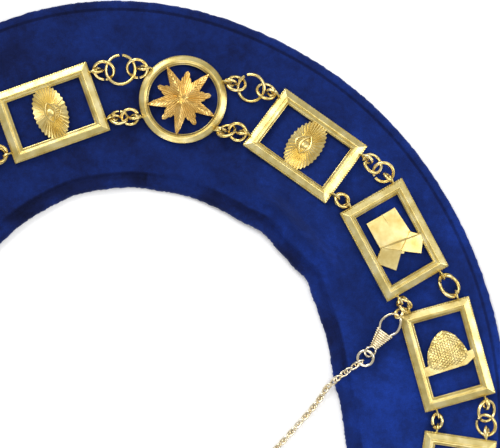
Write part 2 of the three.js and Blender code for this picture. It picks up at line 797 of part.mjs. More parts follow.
// The thin chain lies on the velvet, leaves it over the neck edge and lies on the floor

const chainRadius = crossChainWidth / 2;
const steepest = 0.9;

function drapedRoute(plan, samples) {
  const flat = plan.map(({ x, y }) => new THREE.Vector3(x, y, 0));
  const curve = new THREE.CatmullRomCurve3(flat, false, 'centripetal');
  const points = curve.getSpacedPoints(samples);
  const step = curve.getLength() / samples;
  const round = [[0, 0], [1, 0], [-1, 0], [0, 1], [0, -1]];
  const needed = points.map(({ x, y }) => {
    const tops = round.map(([u, v]) => velvetTop(x + 2 * chainRadius * u, y + 2 * chainRadius * v));
    return Math.max(...tops) + chainRadius + restGap;
  });
  needed[0] = Math.max(needed[0], plan[0].z);
  needed[samples] = Math.max(needed[samples], plan[plan.length - 1].z);
  return points.map((point, i) => {
    const held = needed.map((height, j) => height - steepest * step * Math.abs(i - j));
    return new THREE.Vector3(point.x, point.y, Math.max(...held));
  });
}

const rightRoute = CROSS_CHAIN_ROUTE.map(({ x, y }) => ({ x: x * neckHalfWidth, y: y * neckHalfWidth }));
const leftRoute = rightRoute.slice(0, -1).reverse().map(({ x, y }) => ({ x: -x, y }));
const between = [...rightRoute, ...leftRoute];

function ringExit(endRing, next) {
  const away = new THREE.Vector3(next.x - endRing.x, next.y - endRing.y, 0).normalize();
  return endRing.clone().addScaledVector(away, endRingRadius);
}

const startPoint = ringExit(claspRight.endRing, between[0]);
const endPoint = ringExit(claspLeft.endRing, between[between.length - 1]);
const draped = drapedRoute([startPoint, ...between, endPoint], routeSamples);
const crossTube = tube(draped, chainRadius, chainSteps, chainSides);

function endRingGeometry({ endRing, normal }) {
  const ring = new THREE.TorusGeometry(endRingRadius, wireRadius, wireSides, ringSides);
  const turn = new THREE.Quaternion().setFromUnitVectors(new THREE.Vector3(0, 0, 1), normal);
  return ring.applyQuaternion(turn).translate(endRing.x, endRing.y, endRing.z);
}

addPiece('cross_chain', joined([
  crossTube, endRingGeometry(claspRight), endRingGeometry(claspLeft),
]), paleGold);

// The origin is under the middle of the collar

const reach = new THREE.Box3().setFromPoints(velvetRows.flat());
office.position.set(0, -(reach.min.y + reach.max.y) / 2, 0);

export default office;
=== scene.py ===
# %% [markdown]
# # A chain of office
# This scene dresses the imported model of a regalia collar: blue velvet that lies flat, moulded
# gilt plates joined by jump rings, and a thin clasped chain across the neck opening.
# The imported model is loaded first. It fixes every size and place, so each piece that is made
# below starts from it, and none is fitted by eye.

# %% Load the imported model
import math

import bpy
import bmesh
import numpy as np
from mathutils import Matrix, Vector, noise
from mathutils.bvhtree import BVHTree


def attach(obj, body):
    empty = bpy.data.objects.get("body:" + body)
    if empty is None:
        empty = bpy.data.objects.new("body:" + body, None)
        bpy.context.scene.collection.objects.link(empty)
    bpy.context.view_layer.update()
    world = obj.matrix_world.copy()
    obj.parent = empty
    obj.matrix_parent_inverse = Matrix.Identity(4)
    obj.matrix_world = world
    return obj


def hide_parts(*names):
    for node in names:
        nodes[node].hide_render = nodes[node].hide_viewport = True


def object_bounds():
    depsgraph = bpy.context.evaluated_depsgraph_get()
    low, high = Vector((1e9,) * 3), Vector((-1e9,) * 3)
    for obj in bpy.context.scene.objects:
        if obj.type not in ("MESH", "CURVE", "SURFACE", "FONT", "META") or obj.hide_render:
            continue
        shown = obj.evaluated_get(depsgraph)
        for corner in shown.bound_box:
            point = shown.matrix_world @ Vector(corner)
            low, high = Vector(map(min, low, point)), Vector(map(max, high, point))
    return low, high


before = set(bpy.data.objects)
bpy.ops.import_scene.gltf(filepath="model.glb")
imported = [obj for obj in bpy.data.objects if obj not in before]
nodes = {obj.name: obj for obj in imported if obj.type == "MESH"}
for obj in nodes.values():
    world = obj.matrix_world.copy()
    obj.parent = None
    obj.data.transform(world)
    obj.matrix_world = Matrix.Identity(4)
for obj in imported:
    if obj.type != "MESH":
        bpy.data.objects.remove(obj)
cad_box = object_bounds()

MM = 0.001
print(len(nodes), "nodes, from", cad_box[0], "to", cad_box[1])

# %% [markdown]
# ## Camera, light and floor
# The collar was photographed from straight above, a little turned. A long lens from far up keeps
# the plates free of perspective. The place it looks at is a plain point on the floor.

# %% Camera
view_from_front, view_aside = 371.9 * MM, 52.8 * MM
view_centre = Vector((view_aside, cad_box[0].y + view_from_front))
view_width = 250 * MM
view_turn = math.radians(5)
camera_height = 1.2
plate_height = 8 * MM

camera_data = bpy.data.cameras.new("camera")
camera_data.sensor_width = 36
camera_data.lens = camera_data.sensor_width * (camera_height - plate_height) / view_width
camera = bpy.data.objects.new("camera", camera_data)
bpy.context.collection.objects.link(camera)
camera.location = (view_centre.x, view_centre.y, camera_height)
camera.rotation_euler = (0, 0, view_turn)
bpy.context.scene.camera = camera
print("lens", round(camera_data.lens, 1), "mm")

# %% [markdown]
# Gilt metal only looks like metal when it has bright and dark things to mirror. Large soft lamps
# stand at the left and right, and the air between them stays a soft grey, so each edge of a
# plate picks up one lamp and each groove picks up the grey.


# %% Lamps
def lamp(name, place, size, watts):
    data = bpy.data.lights.new(name, "AREA")
    data.shape = "RECTANGLE"
    data.size, data.size_y = size
    data.energy = watts
    piece = bpy.data.objects.new(name, data)
    bpy.context.collection.objects.link(piece)
    piece.location = place
    piece.rotation_euler = (lamp_aim - Vector(place)).to_track_quat("-Z", "Y").to_euler()


lamp_aim = Vector((0.05, 0.1, 0))
lamp("window_lamp", (-0.9, 1.2, 1.3), (0.9, 0.9), 17)
lamp("side_lamp", (1.4, 0.2, 0.9), (0.5, 1.2), 7)
lamp("low_lamp", (-0.3, -1.5, 0.8), (1.4, 0.5), 7)
lamp("top_lamp", (0.35, 0.5, 1.7), (0.7, 0.7), 8)

air_light = 0.55
world = bpy.data.worlds.new("studio")
bpy.context.scene.world = world
world.use_nodes = True
air = world.node_tree.nodes["Background"]
air.inputs["Color"].default_value = (1, 1, 1, 1)
air.inputs["Strength"].default_value = air_light
bpy.context.scene.view_settings.view_transform = "Standard"

# %% [markdown]
# ## Colours and nodes
# Colours are written as the sRGB codes that a maker would read off a swatch, and one function
# turns them to the linear values that the renderer counts in. Others add a node with its settings
# and links, noise of a size in millimetres, and a bump, so each material reads as a short list.


# %% Helpers for materials
def swatch(code):
    parts = [int(code[i:i + 2], 16) / 255 for i in (1, 3, 5)]
    linear = [p / 12.92 if p <= 0.04045 else ((p + 0.055) / 1.055) ** 2.4 for p in parts]
    return (*linear, 1.0)


def add_node(tree, kind, settings=None, links=None):
    node = tree.nodes.new(kind)
    for name, value in (settings or {}).items():
        if isinstance(name, str) and hasattr(node, name):
            setattr(node, name, value)
        else:
            node.inputs[name].default_value = value
    for name, source in (links or {}).items():
        tree.links.new(source, node.inputs[name])
    return node


def new_material(name, **shader_values):
    material = bpy.data.materials.new(name)
    material.use_nodes = True
    shader = material.node_tree.nodes["Principled BSDF"]
    for socket, value in shader_values.items():
        shader.inputs[socket.replace("_", " ")].default_value = value
    return material, material.node_tree, shader


def colour_ramp(tree, factor, stops):
    ramp = add_node(tree, "ShaderNodeValToRGB", links={"Fac": factor})
    places = ramp.color_ramp.elements
    while len(places) < len(stops):
        places.new(0.5)
    for place, (position, code) in zip(places, stops):
        place.position = position
        place.color = swatch(code)
    return ramp.outputs["Color"]


def noise_of(tree, place, size, detail, roughness=0.5):
    settings = {"Scale": 1 / (size * MM), "Detail": detail, "Roughness": roughness}
    return add_node(tree, "ShaderNodeTexNoise", settings, {"Vector": place}).outputs["Fac"]


def bump_of(tree, strength, depth, **links):
    settings = {"Strength": strength, "Distance": depth * MM}
    return add_node(tree, "ShaderNodeBump", settings, links).outputs["Normal"]


# %% [markdown]
# ## The floor
# The collar lies on a plain white sheet of card. Card has no gloss, so it is only a pale colour
# with a faint unevenness, and it carries the soft shadow at the velvet's edge.

# %% Floor
card, tree, shader = new_material("white_card_matt", Roughness=0.9)
unevenness = add_node(tree, "ShaderNodeTexNoise", {"Scale": 9.0, "Detail": 3.0})
card_colour = colour_ramp(tree, unevenness.outputs["Fac"], [(0.3, "#FBFBFB"), (0.7, "#FFFFFF")])
tree.links.new(card_colour, shader.inputs["Base Color"])

floor_half = 3.0
floor_drop = 0.3 * MM
floor_mesh = bpy.data.meshes.new("floor")
floor_corners = [(x * floor_half, y * floor_half, 0) for x, y in ((-1, -1), (1, -1), (1, 1), (-1, 1))]
floor_mesh.from_pydata(floor_corners, [], [(0, 1, 2, 3)])
floor_mesh.materials.append(card)
floor = bpy.data.objects.new("floor", floor_mesh)
bpy.context.collection.objects.link(floor)
floor.location.z = -floor_drop
print("floor", 2 * floor_half, "m wide")

# %% [markdown]
# ## Building meshes
# Most pieces here are a closed outline carried along a path: a bar's moulding, a wire, the rolled
# velvet. In Blender that could be a curve with a bevel, but then the fine teeth along a bar
# couldn't be set one by one. So one function joins rows of points into a skin, and one makes
# an object out of several such skins.


# %% Skins and pieces
def unit(vectors):
    return vectors / np.linalg.norm(vectors, axis=-1, keepdims=True)


def skin(rows, closed=False):
    rows = np.asarray(rows, dtype=float)
    count, around = rows.shape[:2]
    last = count if closed else count - 1
    r = np.repeat(np.arange(last), around)
    c = np.tile(np.arange(around), last)
    n, d = (r + 1) % count, (c + 1) % around
    quads = np.stack([r * around + c, r * around + d, n * around + d, n * around + c], axis=1)
    faces = [tuple(quad) for quad in quads.tolist()]
    if not closed:
        faces.append(tuple(range(around))[::-1])
        faces.append(tuple((count - 1) * around + i for i in range(around)))
    return rows.reshape(-1, 3), faces


def turned(skins, matrix):
    grid = np.array(matrix.to_3x3())
    shift = np.array(matrix.translation)
    return [(points @ grid.T + shift, faces) for points, faces in skins]


def make_piece(name, skins, materials, stands_for=(), crease=35, looks=None):
    """One object from skins in millimetres; looks gives the material of each skin."""
    points, faces, face_looks = [], [], []
    for i, (skin_points, skin_faces) in enumerate(skins):
        start = len(points)
        points.extend((skin_points * MM).tolist())
        faces.extend(tuple(start + k for k in face) for face in skin_faces)
        face_looks.extend([looks[i] if looks else 0] * len(skin_faces))
    mesh = bpy.data.meshes.new(name)
    mesh.from_pydata(points, [], faces)
    for material in materials:
        mesh.materials.append(material)
    mesh.polygons.foreach_set("material_index", face_looks)
    work = bmesh.new()
    work.from_mesh(mesh)
    bmesh.ops.recalc_face_normals(work, faces=work.faces)
    for edge in work.edges:
        edge.smooth = edge.calc_face_angle(0) < math.radians(crease)
    for face in work.faces:
        face.smooth = True
    work.to_mesh(mesh)
    work.free()
    piece = bpy.data.objects.new(name, mesh)
    bpy.context.collection.objects.link(piece)
    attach(piece, "root")
    if stands_for:
        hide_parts(*stands_for)
    return piece


def wire_rows(path, radius, sides, closed=False):
    """Round sections along a path of points, held level so that they never twist."""
    path = np.asarray(path, dtype=float)
    if closed:
        ahead, behind = np.roll(path, -1, axis=0), np.roll(path, 1, axis=0)
    else:
        ahead = np.vstack([path[1:], path[-1:]])
        behind = np.vstack([path[:1], path[:-1]])
    way = unit(ahead - behind)
    side = unit(np.cross(way, (0.0, 0.0, 1.0)))
    over = np.cross(side, way)
    turn = np.arange(sides) * 2 * math.pi / sides
    radii = np.broadcast_to(np.asarray(radius, dtype=float), len(path))
    ring = np.cos(turn)[None, :, None] * side[:, None] + np.sin(turn)[None, :, None] * over[:, None]
    return path[:, None] + radii[:, None, None] * ring


def circle(radius, steps, start=0.0, sweep=2 * math.pi):
    """Points of a ring that lies flat, closed when the sweep is the whole way round."""
    whole = sweep >= 2 * math.pi
    turn = start + np.linspace(0, sweep, steps, endpoint=not whole)
    return np.column_stack([radius * np.cos(turn), radius * np.sin(turn), np.zeros(steps)])


def shut_ring(radius, wire, steps=32, sides=10):
    return skin(wire_rows(circle(radius, steps), wire, sides, closed=True), closed=True)


def axes_grid(x, y, z, origin):
    """A placing matrix from three axes and a middle, all in millimetres."""
    return Matrix([*np.stack([x, y, z, origin], axis=1).tolist(), [0, 0, 0, 1]])


def axes_along(axis, up, origin):
    """The placing matrix with X along an axis and Z as near to up as that allows."""
    across = unit(np.cross(up, axis))
    return axes_grid(axis, across, np.cross(axis, across), origin)


print("a ring has", len(shut_ring(1.0, 0.1)[1]), "faces")

# %% [markdown]
# ## The collar's plan
# The velvet was cut along three lines: the neck edge, the line that the chain lies on, and the
# outer edge. Each half of a line is a quarter of an ellipse round the back, an arc over the
# shoulder and a straight run to the V at the front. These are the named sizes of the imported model,
# so a point here and a point there are the same point.

# %% Plan lines
neck_radius, neck_half_width = 103, 112
band_back, band_side = 90, 80
seat_back, seat_side = 0.52, 0.625
widest_drop = 22
front_centre_x = 28
front_turn = math.radians(45)
velvet_thickness = 3.6

line_steps = 600


def walk(points):
    """The share of the way at each point of a drawn line, and the whole length."""
    step = np.linalg.norm(np.diff(points, axis=0), axis=1)
    far = np.concatenate([[0], np.cumsum(step)])
    return far / far[-1], far[-1]


def plan_line(back, half_width):
    side_turn = np.linspace(math.pi / 2, 0, line_steps)
    rise = back + widest_drop
    side = np.stack([half_width * np.cos(side_turn), rise * np.sin(side_turn) - widest_drop], axis=1)
    shoulder_radius = half_width - front_centre_x
    arc_turn = np.linspace(0, -front_turn, line_steps)
    shoulder = np.stack([front_centre_x + shoulder_radius * np.cos(arc_turn),
                         shoulder_radius * np.sin(arc_turn) - widest_drop], axis=1)
    start = shoulder[-1]
    tip = np.array([0, start[1] - start[0] / math.tan(front_turn)])
    straight = np.linspace(start, tip, line_steps)
    return [(piece, *walk(piece)) for piece in (side, shoulder, straight)]


neck_line = plan_line(neck_radius, neck_half_width)
chain_line = plan_line(neck_radius + seat_back * band_back, neck_half_width + seat_side * band_side)
outer_line = plan_line(neck_radius + band_back, neck_half_width + band_side)
neck_centre_y = cad_box[0].y / MM - outer_line[2][0][-1][1]
chain_lengths = [length for _, _, length in chain_line]
chain_half = sum(chain_lengths)


def on_line(line, distance):
    """Plan points at distances along the chain from the back of the neck, right positive."""
    distance = np.atleast_1d(np.asarray(distance, dtype=float))
    rest = np.minimum(np.abs(distance), chain_half)
    result = np.zeros((len(distance), 2))
    start = 0.0
    for (points, shares, _), length in zip(line, chain_lengths):
        inside = (rest >= start) & (rest <= start + length + 1e-9)
        share = (rest[inside] - start) / length
        for axis in (0, 1):
            result[inside, axis] = np.interp(share, shares, points[:, axis])
        start += length
    result[:, 0] *= np.where(distance < 0, -1, 1)
    result[:, 1] += neck_centre_y
    return result


print("half the chain is", round(chain_half, 1), "mm, neck centre at y", round(neck_centre_y, 2))

# %% [markdown]
# ## How the velvet lies
# Stiff velvet with a lining doesn't drape, it buckles: the collar lies flat but for a long fold
# under the right shoulder and a few puckers at the neck edge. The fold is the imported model's own.
# On top of it come the soft unevenness of the padding and small puckers along the neck seam,
# which are too fine to matter to anything that rests on the collar.

# %% Heights of the velvet
fold_rise, ripple_rise = 17, 3.2
# Share of the half where each lies, its spread, and its height as a share of the highest
folds = [(0.187, 0.165, 1.0), (-0.26, 0.15, 0.3), (-0.64, 0.13, 0.14), (0.66, 0.13, 0.2)]
ripples = [(-0.045, 0.045, 1.0), (0.42, 0.045, 0.55), (-0.47, 0.05, 0.8)]
fold_crest, fold_foot, fold_at_neck = -0.55, 0.85, 0.12
ripple_centre, ripple_reach = -0.74, 0.36


def smooth(value):
    value = np.clip(value, 0, 1)
    return value * value * (3 - 2 * value)


def hump(share):
    return np.clip(1 - share * share, 0, None) ** 2


def humps(share, rows):
    return sum(rise * hump((share - at) / spread) for at, spread, rise in rows)


def fold_across(band):
    near = fold_at_neck + (1 - fold_at_neck) * smooth((band + 1) / (fold_crest + 1))
    far = np.clip((fold_foot - band) / (fold_foot - fold_crest), 0, None)
    return np.where(band > fold_crest, far, near)


def velvet_lift(share, band):
    ripple_across = hump((band - ripple_centre) / ripple_reach)
    return (fold_rise * fold_across(band) * humps(share, folds)
            + ripple_rise * ripple_across * humps(share, ripples))


print("highest lift", round(float(velvet_lift(folds[0][0], fold_crest)), 1), "mm")

# %% [markdown]
# ## Where each plate lies
# A plate is stiff, so it tilts with the velvet under it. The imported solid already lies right, so
# its axes are read back from it: the flat underside gives the way down, and its corners
# give the middle and the long way. X then points away from the back of the neck.


# %% Plate axes
medallion_slip = 14
least_area, same_way, same_depth, rim_share = 1e-6, 0.999, 0.1, 0.97
neck_centre = np.array([0, neck_centre_y, 0])


def underside(name):
    """The corners of a solid's lowest flat face, in its own tilt, and the way up."""
    mesh = nodes[name].data
    mesh.calc_loop_triangles()
    points = np.array([v.co for v in mesh.vertices]) / MM
    faces = np.array([t.vertices for t in mesh.loop_triangles])
    a, b, c = points[faces[:, 0]], points[faces[:, 1]], points[faces[:, 2]]
    normal = np.cross(b - a, c - a)
    area = np.linalg.norm(normal, axis=1)
    normal = normal / np.maximum(area, 1e-9)[:, None]
    totals = {}
    for key, size in zip(map(tuple, np.round(normal, 2)), area):
        totals[key] = totals.get(key, 0) + size
    rough = np.array(max(totals, key=totals.get))
    flat = (normal @ rough > same_way * np.linalg.norm(rough)) & (area > least_area)
    down = unit((normal[flat] * area[flat, None]).sum(axis=0))
    lowest = np.unique(faces[flat])
    depth = points[lowest] @ down
    corners = points[lowest[depth > depth.max() - same_depth]]
    return np.unique(np.round(corners, 3), axis=0), -down


def axes_on(up, x, origin):
    """The placing matrix with Z up from a plate and X as near to a way as that allows."""
    x = unit(x - up * (x @ up))
    return axes_grid(x, np.cross(up, x), up, origin)


def plate_axes(name):
    corners, up = underside(name)
    spread = np.linalg.norm(corners - corners.mean(axis=0), axis=1)
    outer = corners[np.argsort(spread)[-4:]]
    apart = np.linalg.norm(outer - outer[0], axis=1)
    order = np.argsort(apart)
    short, long = apart[order[1]], apart[order[2]]
    way = outer[order[2]] - outer[0]
    out = outer.mean(axis=0) - neck_centre
    clockwise = np.array([out[1], -out[0], 0])
    side = 1 if name.startswith("right") else -1
    way = way * np.sign(way @ clockwise) * side
    return axes_on(up, way, outer.mean(axis=0)), long, short


def medallion_axes(name, way):
    corners, up = underside(name)
    spread = np.linalg.norm(corners - corners.mean(axis=0), axis=1)
    rim = corners[spread > rim_share * spread.max()]
    return axes_on(up, np.array([*way, 0.0]), rim.mean(axis=0)), spread.max()


plate_names = [name for name in nodes if name.endswith("_plate")]
plates = {}
for name in plate_names:
    plates[name], plate_length, plate_width = plate_axes(name)
slip_way = np.diff(on_line(chain_line, [medallion_slip - 0.5, medallion_slip + 0.5]), axis=0)[0]
plates["star_medallion_back"], medallion_radius = medallion_axes("star_medallion_back", slip_way)
plates["star_medallion_front"], _ = medallion_axes("star_medallion_front", (1.0, 0.0))
print("plates", round(plate_length, 2), "by", round(plate_width, 2), "mm, medallions",
      round(2 * medallion_radius, 2), "mm across")

# %% [markdown]
# ## The velvet
# A collar like this is two layers of velvet and a stiff lining, sewn along the outer edge, turned,
# and bound along the neck with a rolled strip. That could be simulated as cloth, but a stiffened
# collar that lies flat doesn't drape, and the plates have to stay on it. So its section is drawn
# once, with the roll, the seams and the stitched line, and carried round the plan at the height
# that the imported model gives. Under each plate the pile is pressed down.

# %% Velvet section
sections = 720
edge_zone = 10.5
# Distance from the neck edge, and height of the top there
neck_roll = [(0, 1.5), (0.3, 2.5), (0.9, 3.5), (1.8, 4.1), (3.0, 4.35), (4.2, 4.2), (5.2, 3.8),
             (5.9, 3.2), (6.4, 2.75), (6.8, 2.7), (7.4, 3.05), (8.6, 3.45), (edge_zone, 3.6)]
# Distance from the outer edge, and height of the top there
outer_edge = [(edge_zone, 3.6), (8.0, 3.6), (6.4, 3.55), (5.4, 3.35), (4.9, 3.05), (4.5, 3.0),
              (4.1, 3.15), (3.4, 3.5), (2.4, 3.55), (1.4, 3.3), (0.7, 2.8), (0.25, 2.2), (0, 1.5)]
middle_steps = 30
under_shares = (0.0, 0.12, 0.3, 0.5, 0.7, 0.88, 1.0)
under_inset = 1.2

stations = (np.arange(sections) * 2 / sections - 1) * chain_half
neck_points = on_line(neck_line, stations)
chain_points = on_line(chain_line, stations)
outer_points = on_line(outer_line, stations)

# Where the velvet's edges stray from the drawn plan: share of the half, spread, millimetres outward
neck_strays = [(-0.25, 0.16, -4), (0.38, 0.13, -4.5), (0.16, 0.035, 2.2), (0.245, 0.025, 1.8)]
outer_strays = [(-0.14, 0.26, 6.5)]


outward = unit(outer_points - neck_points)
shares = stations / chain_half
neck_points = neck_points + outward * humps(shares, neck_strays)[:, None]
outer_points = outer_points + outward * humps(shares, outer_strays)[:, None]
inner_length = np.linalg.norm(chain_points - neck_points, axis=1)
outer_length = np.linalg.norm(outer_points - chain_points, axis=1)
whole_length = inner_length + outer_length
print("velvet is", round(whole_length.min(), 1), "to", round(whole_length.max(), 1), "mm wide")


def across_point(distance):
    """The plan points at a distance from the neck edge, one in each section."""
    inner = np.clip(distance / inner_length, 0, 1)[:, None]
    outer = np.clip((distance - inner_length) / outer_length, 0, 1)[:, None]
    return neck_points + (chain_points - neck_points) * inner + (outer_points - chain_points) * outer


# %% [markdown]
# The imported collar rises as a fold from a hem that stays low, so a distance across the band is
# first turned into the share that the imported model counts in. The unevenness is layered noise:
# long soft swells from the padding, and short puckers that run across the band from the neck seam.

# %% Velvet heights
hem_reach = 11.0
half_band = 0.5
half_apart = 900
swell_size, swell_across, swell_rise, swell_seed = 38.0, 0.7 * 38.0, 0.8, 3.1
calm_at_neck, calm_at_rim, calm_reach = 8, 6, 14
pucker_size, pucker_across, pucker_rise, pucker_seed = 7.0, 60.0, 0.55, 7.7
pucker_start, pucker_grow, pucker_full, pucker_reach = 6.5, 3, 8, 16.0
pressed_gap, pressed_ahead, pressed_aside = 0.3, 1.5, 4


def band_share(distance):
    near = np.clip((distance - hem_reach) / np.maximum(half_band * inner_length - hem_reach, 1), 0, 1)
    inner = np.where(near < 1, -1 + half_band * near, distance / inner_length - 1)
    return np.where(distance > inner_length, (distance - inner_length) / outer_length, inner)


def noise_along(distance, along_size, across_size, seed):
    """Noise in the velvet's own length and width, one value for each section."""
    return np.array([noise.noise(Vector((s / along_size, d / across_size, seed)))
                     for s, d in zip(np.abs(stations) + half_apart * (stations < 0), distance)])


def top_height(distance, section_height):
    calm = smooth((distance - calm_at_neck) / calm_reach)
    calm = calm * smooth((whole_length - distance - calm_at_rim) / calm_reach)
    swell = swell_rise * noise_along(distance, swell_size, swell_across, swell_seed) * calm
    fade = np.exp(-np.clip(distance - pucker_full, 0, None) / pucker_reach)
    fade = smooth((distance - pucker_start) / pucker_grow) * fade
    pucker = pucker_rise * noise_along(distance, pucker_size, pucker_across, pucker_seed) * fade
    return velvet_lift(shares, band_share(distance)) + section_height + swell + pucker


def pressed(points):
    """Velvet under a plate stays a little below the plate's flat underside."""
    for matrix in plates.values():
        x, y, up, origin = (np.array(matrix.col[i][:3]) for i in range(4))
        away = points - origin
        below = np.abs(away @ x) < plate_length / 2 + pressed_ahead
        below &= np.abs(away @ y) < plate_width / 2 + pressed_aside
        most = origin[2] - ((away[..., 0] * up[0] + away[..., 1] * up[1]) / up[2]) - pressed_gap
        points[..., 2] = np.where(below, np.minimum(points[..., 2], most), points[..., 2])
    return points


# %% [markdown]
# The rows are gathered column by column, and the whole outline wavers a little, as a hand-cut edge
# does. Each point also keeps one number for the material, a painted shade: how much its colour is
# darkened to stand in for shade there. It is high along the stitched groove, in patches of the
# rolled neck edge, and on the underside.

# %% Velvet piece
random = np.random.default_rng(11)
wave_size, wave_out, wave_reach, wave_seed = 32.0, 1.3, 14, 1.9
fray, fray_reach = 0.25, 1
shade_size, shade_across, shade_seed, shade_reach = 26.0, 12.0, 5.3, 7.5
shade_middle, shade_swing, shade_most = 0.55, 1.6, 1.3
stitch_from, stitch_to, stitch_painted_shade = 4, 5, 0.9
columns, painted_shades = [], []


def add_column(distance, height, painted_shade, frayed=False):
    plan = across_point(distance)
    wave = wave_out * noise_along(distance * 0, wave_size, 1, wave_seed)
    wave = wave * np.exp(-distance / wave_reach)
    fringe = random.uniform(-fray * frayed, fray * frayed, sections)
    plan = plan + outward * (wave + fringe)[:, None]
    columns.append(np.column_stack([plan, height]))
    painted_shades.append(np.broadcast_to(painted_shade, sections))


# Painted shade along the rolled neck edge: the colour is darkened in noisy patches within a few
# millimetres of the edge.
for distance, height in neck_roll:
    far = np.full(sections, float(distance))
    shade = shade_middle + shade_swing * noise_along(far, shade_size, shade_across, shade_seed)
    shade = np.clip(shade, 0, shade_most) * (distance < shade_reach)
    add_column(far, top_height(far, height), shade, distance < fray_reach)
for step in range(1, middle_steps):
    far = edge_zone + (whole_length - 2 * edge_zone) * step / middle_steps
    add_column(far, top_height(far, velvet_thickness), 0.0)
for distance, height in outer_edge:
    far = whole_length - distance
    # Painted shade along the stitched groove near the outer edge.
    stitched = stitch_from < distance < stitch_to
    add_column(far, top_height(far, height), stitch_painted_shade * stitched, distance < fray_reach)
# The underside gets full painted shade.
for share in reversed(under_shares):
    far = under_inset + (whole_length - 2 * under_inset) * share
    add_column(far, velvet_lift(shares, band_share(far)), 1.0)

velvet_points = pressed(np.stack(columns, axis=1))
velvet_points[..., 2] = np.maximum(velvet_points[..., 2], 0)
print("velvet mesh", velvet_points.shape)

# %% [markdown]
# ## Velvet
# Velvet is a woven cotton ground with a cut pile that stands on it. Seen along the pile it looks
# deep and dark, and across the pile the fibre ends catch the light. A rough base gives the depth,
# sheen gives the fibre ends, and three sizes of noise give the brushed patches, the marks of a hand
# and the pile itself. On top of these the colour carries painted light and painted shade, set on
# the velvet piece: lighter towards one side of the collar, darker along the neck edge, the stitched
# groove and the underside. Real pile ends stand about 0.1 mm apart, too fine to show here, so they
# are drawn coarser.

# %% Velvet material
velvet_patch, patch_weight = 22.0, 0.6
velvet_streak, streak_weight, streak_depth = 3.0, 0.35, 0.8
velvet_pile, pile_weight, pile_depth = 0.45, 0.3, 0.25

velvet, tree, shader = new_material(
    "cotton_velvet_woven_pile", Roughness=0.9, Sheen_Weight=0.28, Sheen_Roughness=0.4,
    Specular_IOR_Level=0.1)
shader.inputs["Sheen Tint"].default_value = swatch("#7C93E8")
place = add_node(tree, "ShaderNodeTexCoord").outputs["Object"]
patch = noise_of(tree, place, velvet_patch, 3.0, 0.6)
streak = noise_of(tree, place, velvet_streak, 4.0, 0.7)
pile = noise_of(tree, place, velvet_pile, 2.0)
# This attribute is painted light and painted shade, set on the velvet piece below; the noises are added
# to it.
tone = add_node(tree, "ShaderNodeAttribute", {"attribute_name": "painted_light_and_shade"}).outputs["Fac"]
for value, weight in ((patch, patch_weight), (streak, streak_weight), (pile, pile_weight)):
    tone = add_node(tree, "ShaderNodeMath", {"operation": "MULTIPLY_ADD", 1: weight},
                    {0: value, 2: tone}).outputs[0]
blue = colour_ramp(tree, tone, [
    (0.1, "#060A22"), (0.36, "#0E1842"), (0.58, "#122664"), (0.8, "#18358C"), (1.0, "#254AAE")])
tree.links.new(blue, shader.inputs["Base Color"])
pile_bump = bump_of(tree, 0.5, pile_depth, Height=pile)
streak_bump = bump_of(tree, 0.35, streak_depth, Height=streak, Normal=pile_bump)
tree.links.new(streak_bump, shader.inputs["Normal"])
print(velvet.name)

# %% Velvet collar
collar = make_piece("velvet", [skin(velvet_points, closed=True)], [velvet],
                    ["velvet_collar"], crease=80)
# Painted light and shade: the colour is made lighter on the side of the collar that the light is taken
# to come from, and darker on the far side. It is then darkened further wherever a point keeps painted
# shade.
painted_light_way = math.radians(-35)
tone_base, painted_light_swing, painted_shade_weight = -0.2, 0.26, 0.2
around = velvet_points - neck_centre
lean = 0.5 + 0.5 * np.cos(np.arctan2(around[..., 1], around[..., 0]) - painted_light_way)
painted_light_and_shade = tone_base + painted_light_swing * lean - painted_shade_weight * np.stack(painted_shades, axis=1)
attribute = collar.data.attributes.new("painted_light_and_shade", "FLOAT", "POINT")
attribute.data.foreach_set("value", painted_light_and_shade.ravel())
print(len(collar.data.polygons), "faces of velvet")

# %% [markdown]
# ## Gilt brass
# The plates are stamped or cast in brass, then gilt by plating. The thin gold layer keeps the
# grain of the metal under it, so the shine is soft and a little blotchy, bright on the rubbed
# ridges. Gold has no colour of its own but in its mirror image, so the colour is the metal's base
# and the lamps do the rest. A real casting grain is about 0.2 mm, and is drawn coarser to show.

# %% Gilt finishes
casting_grain = 0.7
plating_blotch = 6.0


def gilt(name, dark, mid, light, rough_low, rough_high, grain_depth):
    """A plated metal: three tones of one gold, and a roughness that varies with the grain."""
    material, tree, shader = new_material(name, Metallic=1.0)
    place = add_node(tree, "ShaderNodeTexCoord").outputs["Object"]
    blotch = noise_of(tree, place, plating_blotch, 3.0)
    grain = noise_of(tree, place, casting_grain, 2.0)
    colour = colour_ramp(tree, blotch, [(0.3, dark), (0.52, mid), (0.72, light)])
    tree.links.new(colour, shader.inputs["Base Color"])
    rough = add_node(tree, "ShaderNodeMapRange", {1: 0.3, 2: 0.7, 3: rough_low, 4: rough_high},
                     {"Value": grain})
    tree.links.new(rough.outputs["Result"], shader.inputs["Roughness"])
    tree.links.new(bump_of(tree, 0.4, grain_depth, Height=grain), shader.inputs["Normal"])
    return material


frame_gold = gilt("brass_gilt_cast_frame", "#CDB76E", "#E2D08C", "#F0E2AC", 0.28, 0.4, 0.04)
emblem_gold = gilt("brass_gilt_stamped_emblem", "#CBB167", "#DEC986", "#ECDA9E", 0.28, 0.4, 0.03)
star_gold = gilt("brass_gilt_warm_stamped_star", "#C69E50", "#DAB66C", "#EACB88", 0.28, 0.4, 0.03)
wire_gold = gilt("brass_gilt_drawn_wire", "#DCBE6A", "#EDD48C", "#F8E6AC", 0.2, 0.28, 0.01)
pale_gold = gilt("brass_pale_gilt_polished_wire", "#DCCBA6", "#EBDFC2", "#F6EEDC", 0.14, 0.22, 0.01)
print([m.name for m in bpy.data.materials])

